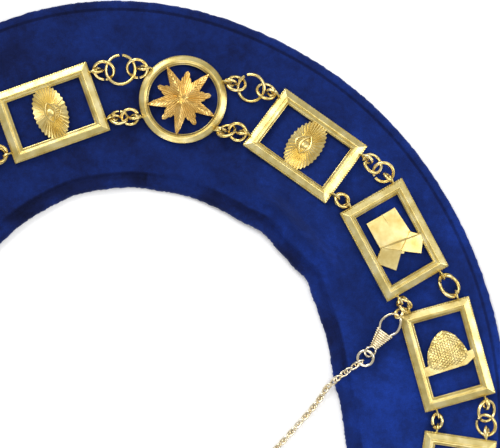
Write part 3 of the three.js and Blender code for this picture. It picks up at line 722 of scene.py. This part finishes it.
# %% [markdown]
# ## The plates' frames
# Each frame is a moulded bar with a milled bead on both edges: real ones are cut with a knurling
# wheel, so the teeth are even. The bar itself needs few faces. The two beads get one row of points
# for each tooth and one for each gap, which is what makes the edge glitter.

# %% Frame moulding
plate_thickness, frame_bar, medallion_bar = 3.0, 6.6, 5.0
tooth_pitch, tooth_depth, tooth_step, tooth_foot = 1.3, 1.0, 0.65, 0.3
round_steps = 96
side_steps = (0, 0.012, 0.06, 0.5, 0.94, 0.988)
# Across the bar from its outer edge, and height, as shares
bar_section = [(0.05, 0), (0.05, 0.52), (0.13, 0.6), (0.15, 0.72), (0.2, 0.78), (0.5, 0.95),
               (0.54, 1.0), (0.59, 1.0), (0.62, 0.86), (0.66, 0.82), (0.7, 0.88), (0.74, 0.84),
               (0.85, 0.66), (0.89, 0.52), (0.95, 0.46), (0.95, 0)]
outer_bead = [(0.03, 0.1), (0.0, 0.34), (0.01, 0.56), (0.06, 0.72), (0.12, 0.68), (0.16, 0.45)]
inner_bead = [(0.84, 0.42), (0.87, 0.64), (0.93, 0.68), (0.99, 0.52), (1.0, 0.32), (0.98, 0.1)]


def bar_path(corner_half, round_radius, bar, across, share):
    """Where the bar's path stands: a rectangle's corners or a circle, stepped in from the edge."""
    inset = across * bar
    if round_radius:
        turn = share * 2 * math.pi
        return (round_radius - inset) * np.array([math.cos(turn), math.sin(turn)])
    half = np.array(corner_half) - inset
    corners = np.array([[1, 1], [-1, 1], [-1, -1], [1, -1], [1, 1]]) * half
    side = min(int(share * 4), 3)
    return corners[side] + (corners[side + 1] - corners[side]) * (share * 4 - side)


def tooth_shares(corner_half, round_radius):
    """Even teeth on each side of the path, as shares of the whole way round."""
    if round_radius:
        count = 2 * round(2 * math.pi * round_radius / tooth_pitch)
        return [i / count for i in range(count)]
    shares = []
    for side, length in enumerate((corner_half[0], corner_half[1]) * 2):
        count = 2 * round(2 * length / tooth_pitch)
        shares += [(side + i / count) / 4 for i in range(count)]
    return shares


def moulding(section, shares, corner_half, round_radius, bar, toothed):
    rows = []
    for i, share in enumerate(shares):
        in_gap = toothed and i % 2 == 1
        row = []
        for across, up in section:
            step_in = math.copysign(tooth_step * in_gap / bar, 0.5 - across)
            x, y = bar_path(corner_half, round_radius, bar, across + step_in, share)
            dip = tooth_depth * (in_gap and up > tooth_foot)
            row.append((x, y, max(up * plate_thickness - dip, 0)))
        rows.append(row)
    return skin(rows, closed=True)


def frame_skins(corner_half=None, round_radius=0.0, bar=frame_bar):
    teeth = tooth_shares(corner_half, round_radius)
    if round_radius:
        smooth_shares = [i / round_steps for i in range(round_steps)]
    else:
        smooth_shares = [(side + step) / 4 for side in range(4) for step in side_steps]
    parts = (bar_section, smooth_shares), (outer_bead, teeth), (inner_bead, teeth)
    return [moulding(section, steps, corner_half, round_radius, bar, steps is teeth)
            for section, steps in parts]


oblong_frame = frame_skins((plate_length / 2, plate_width / 2))
round_frame = frame_skins(round_radius=medallion_radius, bar=medallion_bar)
print("teeth round a plate", len(tooth_shares((plate_length / 2, plate_width / 2), 0)) // 2)

# %% [markdown]
# ## Emblems
# The emblems are stamped from one sheet with the frame, so their relief is a matter of a
# millimetre. Most are drawn as a height over an outline: a fan of points from the middle out, with
# the flutes, ribs or weave added to the height. That keeps the relief real in the mesh, where a
# bump texture would vanish at the edges.

# %% Emblem helpers
emblem_lift, emblem_thickness, emblem_relief = 0.5, 1.2, 1.2
emblem_top = emblem_lift + emblem_thickness
window_long = plate_length - 2 * frame_bar
window_short = plate_width - 2 * frame_bar
hub = 0.02


def relief(reach, height, spokes, steps, centre=(0.0, 0.0), squeeze=(1.0, 1.0)):
    """A closed low relief: reach(turn) is its outline, height(x, y, share) its top."""
    rows = []
    for k in range(steps + 1):
        share = hub + (1 - hub) * (1 - k / steps) if k else 1.0
        row = []
        for i in range(spokes):
            turn = 2 * math.pi * i / spokes
            x = reach(turn) * share * math.cos(turn) * squeeze[0]
            y = reach(turn) * share * math.sin(turn) * squeeze[1]
            row.append((centre[0] + x, centre[1] + y, height(x, y, share)))
        rows.append(row)
    foot = [(x, y, emblem_lift) for x, y, _ in rows[0]]
    return skin([foot] + rows)


def in_window(right, down):
    """A point of an upright emblem, by its shares of the window from the left and from the top."""
    return ((down - 0.5) * window_long, (right - 0.5) * window_short)


def chipped(outline, base, tops, chamfer=0.25):
    """A flat piece with a small chamfer: tops gives the height over each corner."""
    outline = np.array(outline)
    middle_point = outline.mean(axis=0)
    away = outline - middle_point
    inner = middle_point + away * (1 - chamfer / np.linalg.norm(away, axis=1, keepdims=True))
    tops = np.broadcast_to(np.asarray(tops, dtype=float), len(outline))
    return skin([np.column_stack([outline, np.full(len(outline), base)]),
                 np.column_stack([outline, tops - chamfer]),
                 np.column_stack([inner, tops])])


def ridge(start, end, height, width):
    """A thin raised line between two points of an emblem."""
    start, end = np.array([*start, height]), np.array([*end, height])
    return skin(wire_rows(np.linspace(start, end, 4), [width / 4, width / 2, width / 2, width / 4], 8))


print("window", round(window_long, 1), "by", round(window_short, 1), "mm")

# %% [markdown]
# The eye sits on an oval of rays. The rays are flutes: the height goes up and down around the oval,
# and the rim is scalloped to match. The eye itself has two lids, a ball and a pupil.

# %% Eye emblem
oval_half_tall = window_short / 2 + 0.3 * frame_bar
oval_half_wide = 0.6 * oval_half_tall
oval_rise = 0.77 * emblem_relief
ray_count, ray_scallop, ray_flute, ray_start = 34, 0.035, 0.24, 1.6
eye_level = emblem_top + 0.7 * emblem_relief
lid_long, lid_tall = 0.62 * oval_half_wide, 0.3 * oval_half_wide
bow_steps, bow_plump = 17, 0.3
# How far each bow bends aside, its length, how much flatter its ends are, its lift and thickness
bows = [(1, 1, 1, 0.5, 0.25), (-1, 1, 1, 0.35, 0.25), (-2.1, 0.8, 0.7, -0.05, 0.2)]
# The ball and the pupil: radius as a share of the oval's half width, and height
balls = [(0.26, 0.75), (0.11, 1.05)]


def eye_emblem():
    def oval_reach(turn):
        return 1 + ray_scallop * math.cos(ray_count * turn)

    def oval_height(x, y, share):
        turn = math.atan2(y / oval_half_tall, x / oval_half_wide)
        flute = ray_flute * math.cos(ray_count * turn) * float(smooth(share * ray_start))
        return emblem_top + oval_rise * (1 - share * share) + flute

    skins = [relief(oval_reach, oval_height, ray_count * 6, 10,
                    squeeze=(oval_half_wide, oval_half_tall))]
    share = np.linspace(-1, 1, bow_steps)
    for bend, length, flat, lift, thick in bows:
        aside = bend * lid_tall * (1 - flat * share * share)
        bow = np.column_stack([aside, share * length * lid_long, np.full(bow_steps, eye_level + lift)])
        skins.append(skin(wire_rows(bow, thick + bow_plump * (1 - share * share), 8)))
    for radius, top in balls:
        rings = [(radius * math.cos(a), top * math.sin(a)) for a in np.linspace(0, 1.45, 6)]
        turns = np.linspace(0, 2 * math.pi, 20, endpoint=False)
        skins.append(skin([[(r * oval_half_wide * math.cos(t), r * oval_half_wide * math.sin(t),
                             eye_level + z) for t in turns] for r, z in rings]))
    return skins


# %% [markdown]
# The apron is a plain folded cloth: a panel that rises to the knot where it is tied, a ridge below
# the knot, and two flaps. Its faces stay flat and smooth, so each one shows a single tone, as on
# the real plate. Its corners are shares of the window, and its heights stand over the emblem's top.

# %% Apron emblem
apron_panel = [(0.13, 0.13), (0.517, 0.132), (0.83, 0.13), (0.89, 0.56), (0.53, 0.72), (0.14, 0.56)]
apron_knot, knot_rise = (0.556, 0.45), 0.7
# Right, down and height at each corner of the flaps
apron_flaps = [[(-0.1, 0.64, -0.1), (0.17, 0.5, 0.75), (0.52, 0.67, 0.9), (0.22, 0.87, -0.1)],
               [(0.5, 0.67, 0.8), (0.87, 0.5, 0.85), (1.1, 0.64, 0.1), (0.87, 0.84, -0.1)]]
# Where each raised line starts and ends, its height and its width
apron_lines = [((0.14, 0.5), (1.12, 0.61), 0.75, 0.8), ((0.517, 0.135), apron_knot, 0.18, 0.3),
               ((0.83, 0.135), apron_knot, 0.18, 0.3)]


def apron_emblem():
    corners = [in_window(*p) for p in apron_panel]
    count = len(corners)
    points = [(*p, emblem_lift) for p in corners] + [(*p, emblem_top) for p in corners]
    points.append((*in_window(*apron_knot), emblem_top + knot_rise))
    sides = [(i, (i + 1) % count, count + (i + 1) % count, count + i) for i in range(count)]
    fan = [(count + i, count + (i + 1) % count, 2 * count) for i in range(count)]
    skins = [(np.array(points), sides + fan + [tuple(range(count))[::-1]])]
    for flap in apron_flaps:
        skins.append(chipped([in_window(right, down) for right, down, _ in flap], emblem_lift,
                             [emblem_top + high for _, _, high in flap]))
    for start, end, high, width in apron_lines:
        skins.append(ridge(in_window(*start), in_window(*end), emblem_top + high, width))
    return skins


# %% [markdown]
# The beehive is a straw one: a woven dome on a board. The weave is a product of two waves that
# cross the dome aslant, each with the spacing of a straw coil.

# %% Beehive emblem
coil_pitch, coil_slant, weave_rise, dome_rise = 1.5, 0.6, 0.45, 1.5
hive_middle = (0.5, 0.48)
hive_outline = [(0.06, 0.64), (0.08, 0.5), (0.2, 0.34), (0.36, 0.23), (0.53, 0.18), (0.68, 0.23),
                (0.82, 0.35), (0.9, 0.46), (0.93, 0.6), (0.5, 0.66)]
hive_board = [(-0.1, 0.6), (1.1, 0.52), (1.1, 0.61), (0.86, 0.7), (-0.1, 0.72)]


def hive_emblem():
    centre = np.array(in_window(*hive_middle))
    away = np.array([in_window(*p) for p in hive_outline]) - centre
    turns = np.unwrap(np.arctan2(away[:, 1], away[:, 0]))
    order = np.argsort(turns % (2 * math.pi))
    reaches = np.linalg.norm(away, axis=1)[order]
    turns = (turns % (2 * math.pi))[order]

    def reach(turn):
        return float(np.interp(turn, turns, reaches, period=2 * math.pi))

    def height(x, y, share):
        weave = math.sin(math.pi * (x + coil_slant * y) / coil_pitch)
        weave = abs(weave * math.sin(math.pi * (coil_slant * y - x) / coil_pitch))
        return emblem_top + dome_rise * emblem_relief * (1 - share ** 3) + weave_rise * weave

    board = chipped([in_window(*p) for p in hive_board], emblem_lift, emblem_top + 0.5)
    return [relief(reach, height, 120, 30, centre=tuple(centre)), board]


# %% [markdown]
# The star has five long points that reach the frame and five short leaf-like ones between. Each
# long point has a crease along its middle, and fine ribs that slant away from the crease.

# %% Star emblem
rib_pitch, rib_slant, rib_rise = 1.0, 0.5, 0.4
crease_rise, crease_width = 0.72, 1.6
star_window = medallion_radius - medallion_bar
# Turn in degrees from a long point, and how far out the outline is, as a share of the window
star_outline = [(0, 1.06), (9, 0.72), (15, 0.57), (20, 0.52), (24, 0.63), (29, 0.66), (31, 0.78),
                (36, 0.83)]


def star_emblem():
    half_turns = [math.radians(t) for t, _ in star_outline]
    half_reach = [r * star_window for _, r in star_outline]
    fifth = 2 * math.pi / 5

    def fold(turn):
        return abs((turn + fifth / 2) % fifth - fifth / 2)

    def reach(turn):
        return float(np.interp(fold(turn + math.pi / 2), half_turns, half_reach))

    def height(x, y, share):
        turn = fold(math.atan2(y, x) + math.pi / 2)
        far = math.hypot(x, y)
        along, aside = far * math.cos(turn), far * math.sin(turn)
        slant = aside * math.cos(rib_slant) - along * math.sin(rib_slant)
        rib = rib_rise * abs((slant / rib_pitch) % 1 - 0.5) * 2 * float(smooth(far / 4))
        crease = crease_rise * math.exp(-aside / crease_width) * float(smooth(far / 3))
        fall = emblem_relief * 1.2 * (1 - far / (1.1 * star_window))
        return emblem_top + fall + crease + rib

    return [relief(reach, height, 400, 34)]


emblems = {"eye": eye_emblem(), "apron": apron_emblem(), "beehive": hive_emblem()}
star = star_emblem()
print({name: sum(len(faces) for _, faces in skins) for name, skins in emblems.items()})

# %% [markdown]
# ## Lugs and jump rings
# Round wire rings join the plates. They are drawn wire, cut and bent shut by hand, so most
# keep a hairline gap, and no two lie alike. The row of rings between two lugs is worked out
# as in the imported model: it takes the count of rings that comes nearest to the usual ring size.
# A small ring is added at each lug, and a lone ring is doubled, as the photograph shows them.

# %% Lugs
row_offset = 12.5
lug_hole_radius, lug_wall, lug_foot, lug_hole_gap = 1.8, 0.75, 0.2, 0.2
lug_wire = 0.62 * lug_wall
lug_reach = lug_hole_radius + lug_hole_gap
lug_height = lug_foot + lug_hole_radius + lug_wall


def lug_hole(x, y, turn):
    return Vector((x + lug_reach * math.cos(turn), y + lug_reach * math.sin(turn), lug_height))


def lug_skin(x, y, turn):
    loop = shut_ring(lug_hole_radius + lug_wall / 2, lug_wire, 20, 8)
    upright = Matrix.Rotation(turn, 4, "Z") @ Matrix.Rotation(math.pi / 2, 4, "X")
    return turned([loop], Matrix.Translation(lug_hole(x, y, turn)) @ upright)


half_long = plate_length / 2
plate_lugs = {(end, edge): (x, y, turn)
              for end, x, turn in (("ahead", half_long, 0), ("behind", -half_long, math.pi))
              for edge, y in (("left", row_offset), ("right", -row_offset))}


def medallion_lugs(ahead, behind):
    aside = math.asin(row_offset / medallion_radius)

    def rim(turn, offset):
        place = turn + offset
        return (medallion_radius * math.cos(place), medallion_radius * math.sin(place), turn)

    return {("ahead", "left"): rim(ahead, aside), ("ahead", "right"): rim(ahead, -aside),
            ("behind", "left"): rim(behind, -aside), ("behind", "right"): rim(behind, aside)}


lugs = {name: plate_lugs for name in plate_names}
lugs["star_medallion_back"] = medallion_lugs(0, math.pi)
lugs["star_medallion_front"] = medallion_lugs(math.pi / 2 + front_turn, math.pi / 2 - front_turn)
jewel_lug = (0, -medallion_radius, -math.pi / 2)

# %% Plates and medallions
for name, matrix in plates.items():
    is_star = name.startswith("star")
    emblem = star if is_star else emblems[name.split("_")[2]]
    metals = [frame_gold, star_gold if is_star else emblem_gold]
    frame_part = round_frame if is_star else oblong_frame
    own_lugs = list(lugs[name].values()) + ([jewel_lug] if name == "star_medallion_front" else [])
    loops = [loop for lug in own_lugs for loop in lug_skin(*lug)]
    skins = frame_part + loops + emblem
    looks = [0] * (len(frame_part) + len(loops)) + [1] * len(emblem)
    make_piece(f"{name}_gilt", turned(skins, matrix), metals, [name], crease=26, looks=looks)
print(len(plates), "plates dressed")

# %% Ring rows
ring_wire, liked_ring_radius, middle_ring_share, ring_slack, most_rings = 1.2, 5.5, 1.45, 1.35, 5
crossing_share = 0.8
end_ring_lean, middle_ring_lean = 0.6, 0.16
lean_spread, wobble_spread, aside_spread = 0.15, 0.2, 0.3
hook_ring_radius, hook_ring_lift = 2.4, 0.6
clasp_wire, rest_gap = 1.1, 0.35
wire_radius, ring_cut = 0.82, 0.22
lug_ring_radius, lug_ring_lean = 2.5, 1.15
double_size, double_lean = 0.9, -1.2


def row_radii(length):
    """Ring sizes from lug to lug, with bigger rings in the middle of a longer row."""
    best = None
    for count in range(1, most_rings + 1):
        unit = [1 if i in (0, count - 1) else middle_ring_share for i in range(count)]
        reach = unit[0] + unit[-1] + sum(ring_slack * (a + b) / 2 for a, b in zip(unit, unit[1:]))
        radii = [radius * length / reach for radius in unit]
        misfit = abs(sum(radii) / count - liked_ring_radius)
        if best is None or misfit < best[0]:
            best = (misfit, radii)
    return best[1]


def open_ring(radius):
    start = random.uniform(0, 2 * math.pi)
    return skin(wire_rows(circle(radius, 40, start, 2 * math.pi - ring_cut), wire_radius, 9))


def ring_row(name, start, end, up, towards=None):
    row_length = (end - start).length
    radii = row_radii(row_length)
    place = axes_along(np.array((end - start).normalized()), np.array(up), np.array(start))
    centres = [radii[0]]
    for a, b in zip(radii, radii[1:]):
        centres.append(centres[-1] + ring_slack * (a + b) / 2)
    skins = []
    for i, (radius, centre) in enumerate(zip(radii, centres)):
        at_end = i in (0, len(radii) - 1)
        tip_way = 1 if i % 2 else -1
        lean = (end_ring_lean if at_end else middle_ring_lean) * tip_way
        lean += random.uniform(-lean_spread, lean_spread)
        wobble = Matrix.Rotation(random.uniform(-wobble_spread, wobble_spread), 4, "Y")
        aside = random.uniform(-aside_spread, aside_spread)
        spot = Matrix.Translation((centre, aside, 0)) @ wobble
        skins += turned([open_ring(radius)], spot @ Matrix.Rotation(lean, 4, "X"))
        if len(radii) == 1:
            double = spot @ Matrix.Rotation(double_lean * lean, 4, "X")
            skins += turned([open_ring(double_size * radius)], double)
        elif at_end:
            inset = lug_ring_radius - wire_radius
            spot = Matrix.Translation((row_length - inset if i else inset, 0, 0))
            stand = Matrix.Rotation(-tip_way * lug_ring_lean, 4, "X")
            skins += turned([open_ring(lug_ring_radius)], spot @ stand)
    hold = None
    if towards is not None:
        middle_ring = len(radii) // 2
        way = place.to_3x3().inverted() @ Vector((*towards, 0))
        way.z = 0
        way.normalize()
        reach = radii[middle_ring] + hook_ring_radius - crossing_share * ring_wire
        ring = shut_ring(hook_ring_radius, wire_radius, 28, 9)
        stand = Matrix.Rotation(math.atan2(way.y, way.x), 4, "Z") @ Matrix.Rotation(math.pi / 2, 4, "X")
        spot = Vector((centres[middle_ring], 0, hook_ring_lift))
        skins += turned([ring], Matrix.Translation(spot + way * reach) @ stand)
        wire_gap = (ring_wire + clasp_wire) / 2 + rest_gap
        hold = place @ (spot + way * (reach + hook_ring_radius - wire_gap))
    make_piece(f"{name}_wire", turned(skins, place), [wire_gold], [name], crease=50)
    return hold


# %% [markdown]
# The rows go round both halves from the back medallion to the front one. The third row on each
# side, on the neck side, also holds the small upright ring that a clasp hooks into. On the left the
# walk comes to both medallions from their other side, so their lugs change places there.

# %% Rings round the collar
clasp_joint = 3
compass = {"right": math.radians(211), "left": math.radians(140)}
holds = {}
rows_made = 0
for side in ("right", "left"):
    mirrored = side == "left"
    towards = (math.sin(compass[side]), math.cos(compass[side]))
    own_names = [name for name in plate_names if name.startswith(side)]
    numbered = sorted(own_names, key=lambda name: int(name.split("_")[1]))
    chain = ["star_medallion_back", *numbered, "star_medallion_front"]
    for joint, (first, second) in enumerate(zip(chain, chain[1:]), start=1):
        up = (Vector(plates[first].col[2][:3]) + Vector(plates[second].col[2][:3])).normalized()
        for edge in ("left", "right"):
            other = "right" if edge == "left" else "left"
            from_lug, to_lug = ("ahead", edge), ("behind", edge)
            if mirrored and joint == 1:
                from_lug = ("behind", other)
            if mirrored and second == chain[-1]:
                to_lug = ("ahead", other)
            start = plates[first] @ lug_hole(*lugs[first][from_lug])
            end = plates[second] @ lug_hole(*lugs[second][to_lug])
            outward_row = (edge == "left") != mirrored
            name = f"{side}_{joint}_{'outer' if outward_row else 'neck'}_rings"
            hooked = not outward_row and joint == clasp_joint
            hold = ring_row(name, start, end, up, towards if hooked else None)
            if hooked:
                holds[side] = np.array(hold)
            rows_made += 1

jewel_place = plates["star_medallion_front"].copy()
jewel_place.translation = jewel_place @ lug_hole(*jewel_lug)
jewel_ring_radius = 5.4
jewel = turned([open_ring(jewel_ring_radius)], Matrix.Translation((0, -jewel_ring_radius, 0)))
make_piece("jewel_ring_wire", turned(jewel, jewel_place), [wire_gold], ["jewel_ring"],
           crease=50)
print(rows_made, "rows of rings, clasps hold at", holds)

# %% [markdown]
# ## The clasps
# A clasp here is one springy wire bent to a long hook, with its two legs bound by a second wire
# that is wound round them side by side, tighter towards the eye. The windings are ridges
# across a flat taper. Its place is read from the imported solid: the hook's end is known from the ring
# that it holds, and the long way of the solid gives its direction.

# %% Clasps
clasp_body_length, clasp_narrow, clasp_wide, clasp_thickness = 10.2, 3.9, 9.4, 2.6
clasp_hook_length, clasp_eye_radius, clasp_eye_roll = 10.6, 2.9, math.radians(34)
hook_wire_radius = 0.66
end_ring_radius, end_ring_link = 3.9, 4.2
windings, winding_steps, winding_rise, winding_power = 9, 8, 0.6, 0.7
wide_power, thick_power, thin_taper, clasp_sides = 0.6, 0.8, 0.15, 24
# The bent wire: along as a share of the hook's length, across as a share of the half width
hook_wire = [(-1.2, 0.5), (-1.08, 0.62), (-0.74, 1.0), (-0.42, 0.94), (-0.13, 0.58), (0, 0),
             (-0.13, -0.58), (-0.42, -0.94), (-0.74, -1.0), (-1.08, -0.62), (-1.2, -0.5)]
clasp_reach = clasp_hook_length + clasp_body_length + clasp_eye_radius - clasp_wire / 2 + end_ring_link


def curve_through(points, steps):
    """A smooth curve through given points, with even steps in each stretch."""
    p = np.asarray(points, dtype=float)
    p = np.vstack([2 * p[0] - p[1], p, 2 * p[-1] - p[-2]])
    result = []
    for a, b, c, d in zip(p, p[1:], p[2:], p[3:]):
        for t in np.linspace(0, 1, steps, endpoint=False):
            result.append(0.5 * (2 * b + (c - a) * t + (2 * a - 5 * b + 4 * c - d) * t ** 2
                                 + (3 * b - a - 3 * c + d) * t ** 3))
    return np.array([*result, p[-2]])


def blunt(value, power):
    return math.copysign(abs(value) ** power, value)


def clasp_skins():
    flat = [(along * clasp_hook_length, across * clasp_wide / 2, 0) for along, across in hook_wire]
    hook = skin(wire_rows(curve_through(flat, 8), hook_wire_radius, 10))
    steps = windings * winding_steps
    rows = []
    for i in range(steps + 1):
        share = i / steps
        ridge_rise = winding_rise * (abs(math.sin(math.pi * share * windings)) ** winding_power - 0.5)
        half_wide = (clasp_wide + (clasp_narrow - clasp_wide) * share) / 2 + ridge_rise
        half_thick = clasp_thickness / 2 * (1 - thin_taper * share) + ridge_rise
        x = -clasp_hook_length - clasp_body_length * share
        rows.append([(x, half_wide * blunt(math.cos(t), wide_power),
                      half_thick * blunt(math.sin(t), thick_power))
                     for t in np.linspace(0, 2 * math.pi, clasp_sides, endpoint=False)])
    eye = shut_ring(clasp_eye_radius, hook_wire_radius)
    eye_x = -clasp_hook_length - clasp_body_length - clasp_eye_radius + clasp_wire / 2
    spot = Matrix.Translation((eye_x, 0, 0)) @ Matrix.Rotation(clasp_eye_roll, 4, "X")
    return [hook, skin(rows)] + turned([eye], spot)


end_rings = {}
for side in ("right", "left"):
    name = f"clasp_{side}"
    points = np.unique(np.round([list(v.co / MM) for v in nodes[name].data.vertices], 2), axis=0)
    middle = points.mean(axis=0)
    axis = np.linalg.eigh(np.cov((points - middle).T))[1][:, -1]
    axis *= np.sign((holds[side] - middle) @ axis)
    place = axes_along(axis, (0, 0, 1), holds[side])
    make_piece(f"{name}_wound", turned(clasp_skins(), place), [pale_gold], [name],
               crease=40)
    end_rings[side] = (holds[side] - axis * clasp_reach, place.col[2].to_3d())
print("end rings at", {side: np.round(spot, 1).tolist() for side, (spot, _) in end_rings.items()})

# %% [markdown]
# ## The thin chain
# The chain between the clasps is fine wire: oval links that each pass through the next and lean
# to either side in turn, so that they lie snug. Its way over the floor was chosen in the imported
# model and is repeated here. Its height follows what is under it, found by looking straight down.
# The links nearest to the clasps are a size larger.

# %% Chain route
# From the right clasp to the middle, as shares of the neck's half width from the neck's centre
chain_route = [(0.897, 0.125), (0.85, 0.045), (0.793, -0.038), (0.696, -0.166), (0.554, -0.339),
               (0.375, -0.509), (0.179, -0.634), (0, -0.674)]
link_pitch, link_wire, link_half_long, link_half_wide = 2.8, 0.5, 2.15, 1.4
link_twist, link_roll, link_steps, link_sides = 0.3, math.radians(50), 18, 7
bold_reach, bold_scale = 22, 1.15
steepest, foot_reach = 0.9, 1.8
right_route = [(x * neck_half_width, y * neck_half_width + neck_centre_y) for x, y in chain_route]
plan = right_route + [(-x, y) for x, y in reversed(right_route[:-1])]


def ring_exit(side, toward):
    spot = end_rings[side][0][:2]
    return tuple(spot + unit(np.array(toward) - spot) * end_ring_radius)


plan = [ring_exit("right", plan[0]), *plan, ring_exit("left", plan[-1])]
flat_way = curve_through([(x, y, 0) for x, y in plan], 60)
way_shares, way_length = walk(flat_way)
distances, scales = [0.0], []
while distances[-1] < way_length:
    near_clasp = min(distances[-1], way_length - distances[-1]) < bold_reach
    scales.append(bold_scale if near_clasp else 1.0)
    distances.append(distances[-1] + link_pitch * scales[-1])
distances = np.array(distances[:-1])
route = np.column_stack([np.interp(distances / way_length, way_shares, flat_way[:, axis])
                         for axis in (0, 1)] + [distances * 0])
print(len(route), "links over", round(way_length), "mm")

# %% Chain heights
velvet_tree = BVHTree.FromPolygons([v.co[:] for v in collar.data.vertices],
                                   [face.vertices[:] for face in collar.data.polygons])


def top_under(x, y):
    spot = velvet_tree.ray_cast(Vector((x, y, 100)) * MM, Vector((0, 0, -1)))[0]
    return spot.z / MM if spot else 0.0


feet = [(0, 0), (foot_reach, 0), (-foot_reach, 0), (0, foot_reach), (0, -foot_reach)]
link_lift = (link_half_wide + link_wire) * math.sin(link_roll)
needed = np.array([max(top_under(x + u, y + v) for u, v in feet) for x, y, _ in route])
needed += link_lift * np.array(scales)
needed[0] = max(needed[0], end_rings["right"][0][2])
needed[-1] = max(needed[-1], end_rings["left"][0][2])
fall = steepest * np.abs(distances[:, None] - distances[None, :])
route[:, 2] = (needed[None, :] - fall).max(axis=1)
print("chain from", round(route[:, 2].min(), 1), "to", round(route[:, 2].max(), 1), "mm high")

# %% Chain links
way = unit(np.gradient(route, axis=0))
turn = np.linspace(0, 2 * math.pi, link_steps, endpoint=False)
oval = np.column_stack([link_half_long * np.cos(turn), link_half_wide * np.sin(turn),
                        link_twist * np.sin(2 * turn)])
links = []
for i, (spot, along, scale) in enumerate(zip(route, way, scales)):
    link = skin(wire_rows(oval * scale, link_wire * scale, link_sides, closed=True), closed=True)
    roll = Matrix.Rotation(link_roll if i % 2 else -link_roll, 4, "X")
    links += turned([link], axes_along(along, (0, 0, 1), spot) @ roll)
for spot, normal in end_rings.values():
    tip = Vector((0, 0, 1)).rotation_difference(normal).to_matrix().to_4x4()
    links += turned([shut_ring(end_ring_radius, wire_radius)], Matrix.Translation(spot) @ tip)
make_piece("cross_chain_links", links, [pale_gold], ["cross_chain"], crease=60)
print(len(links), "skins in the chain")
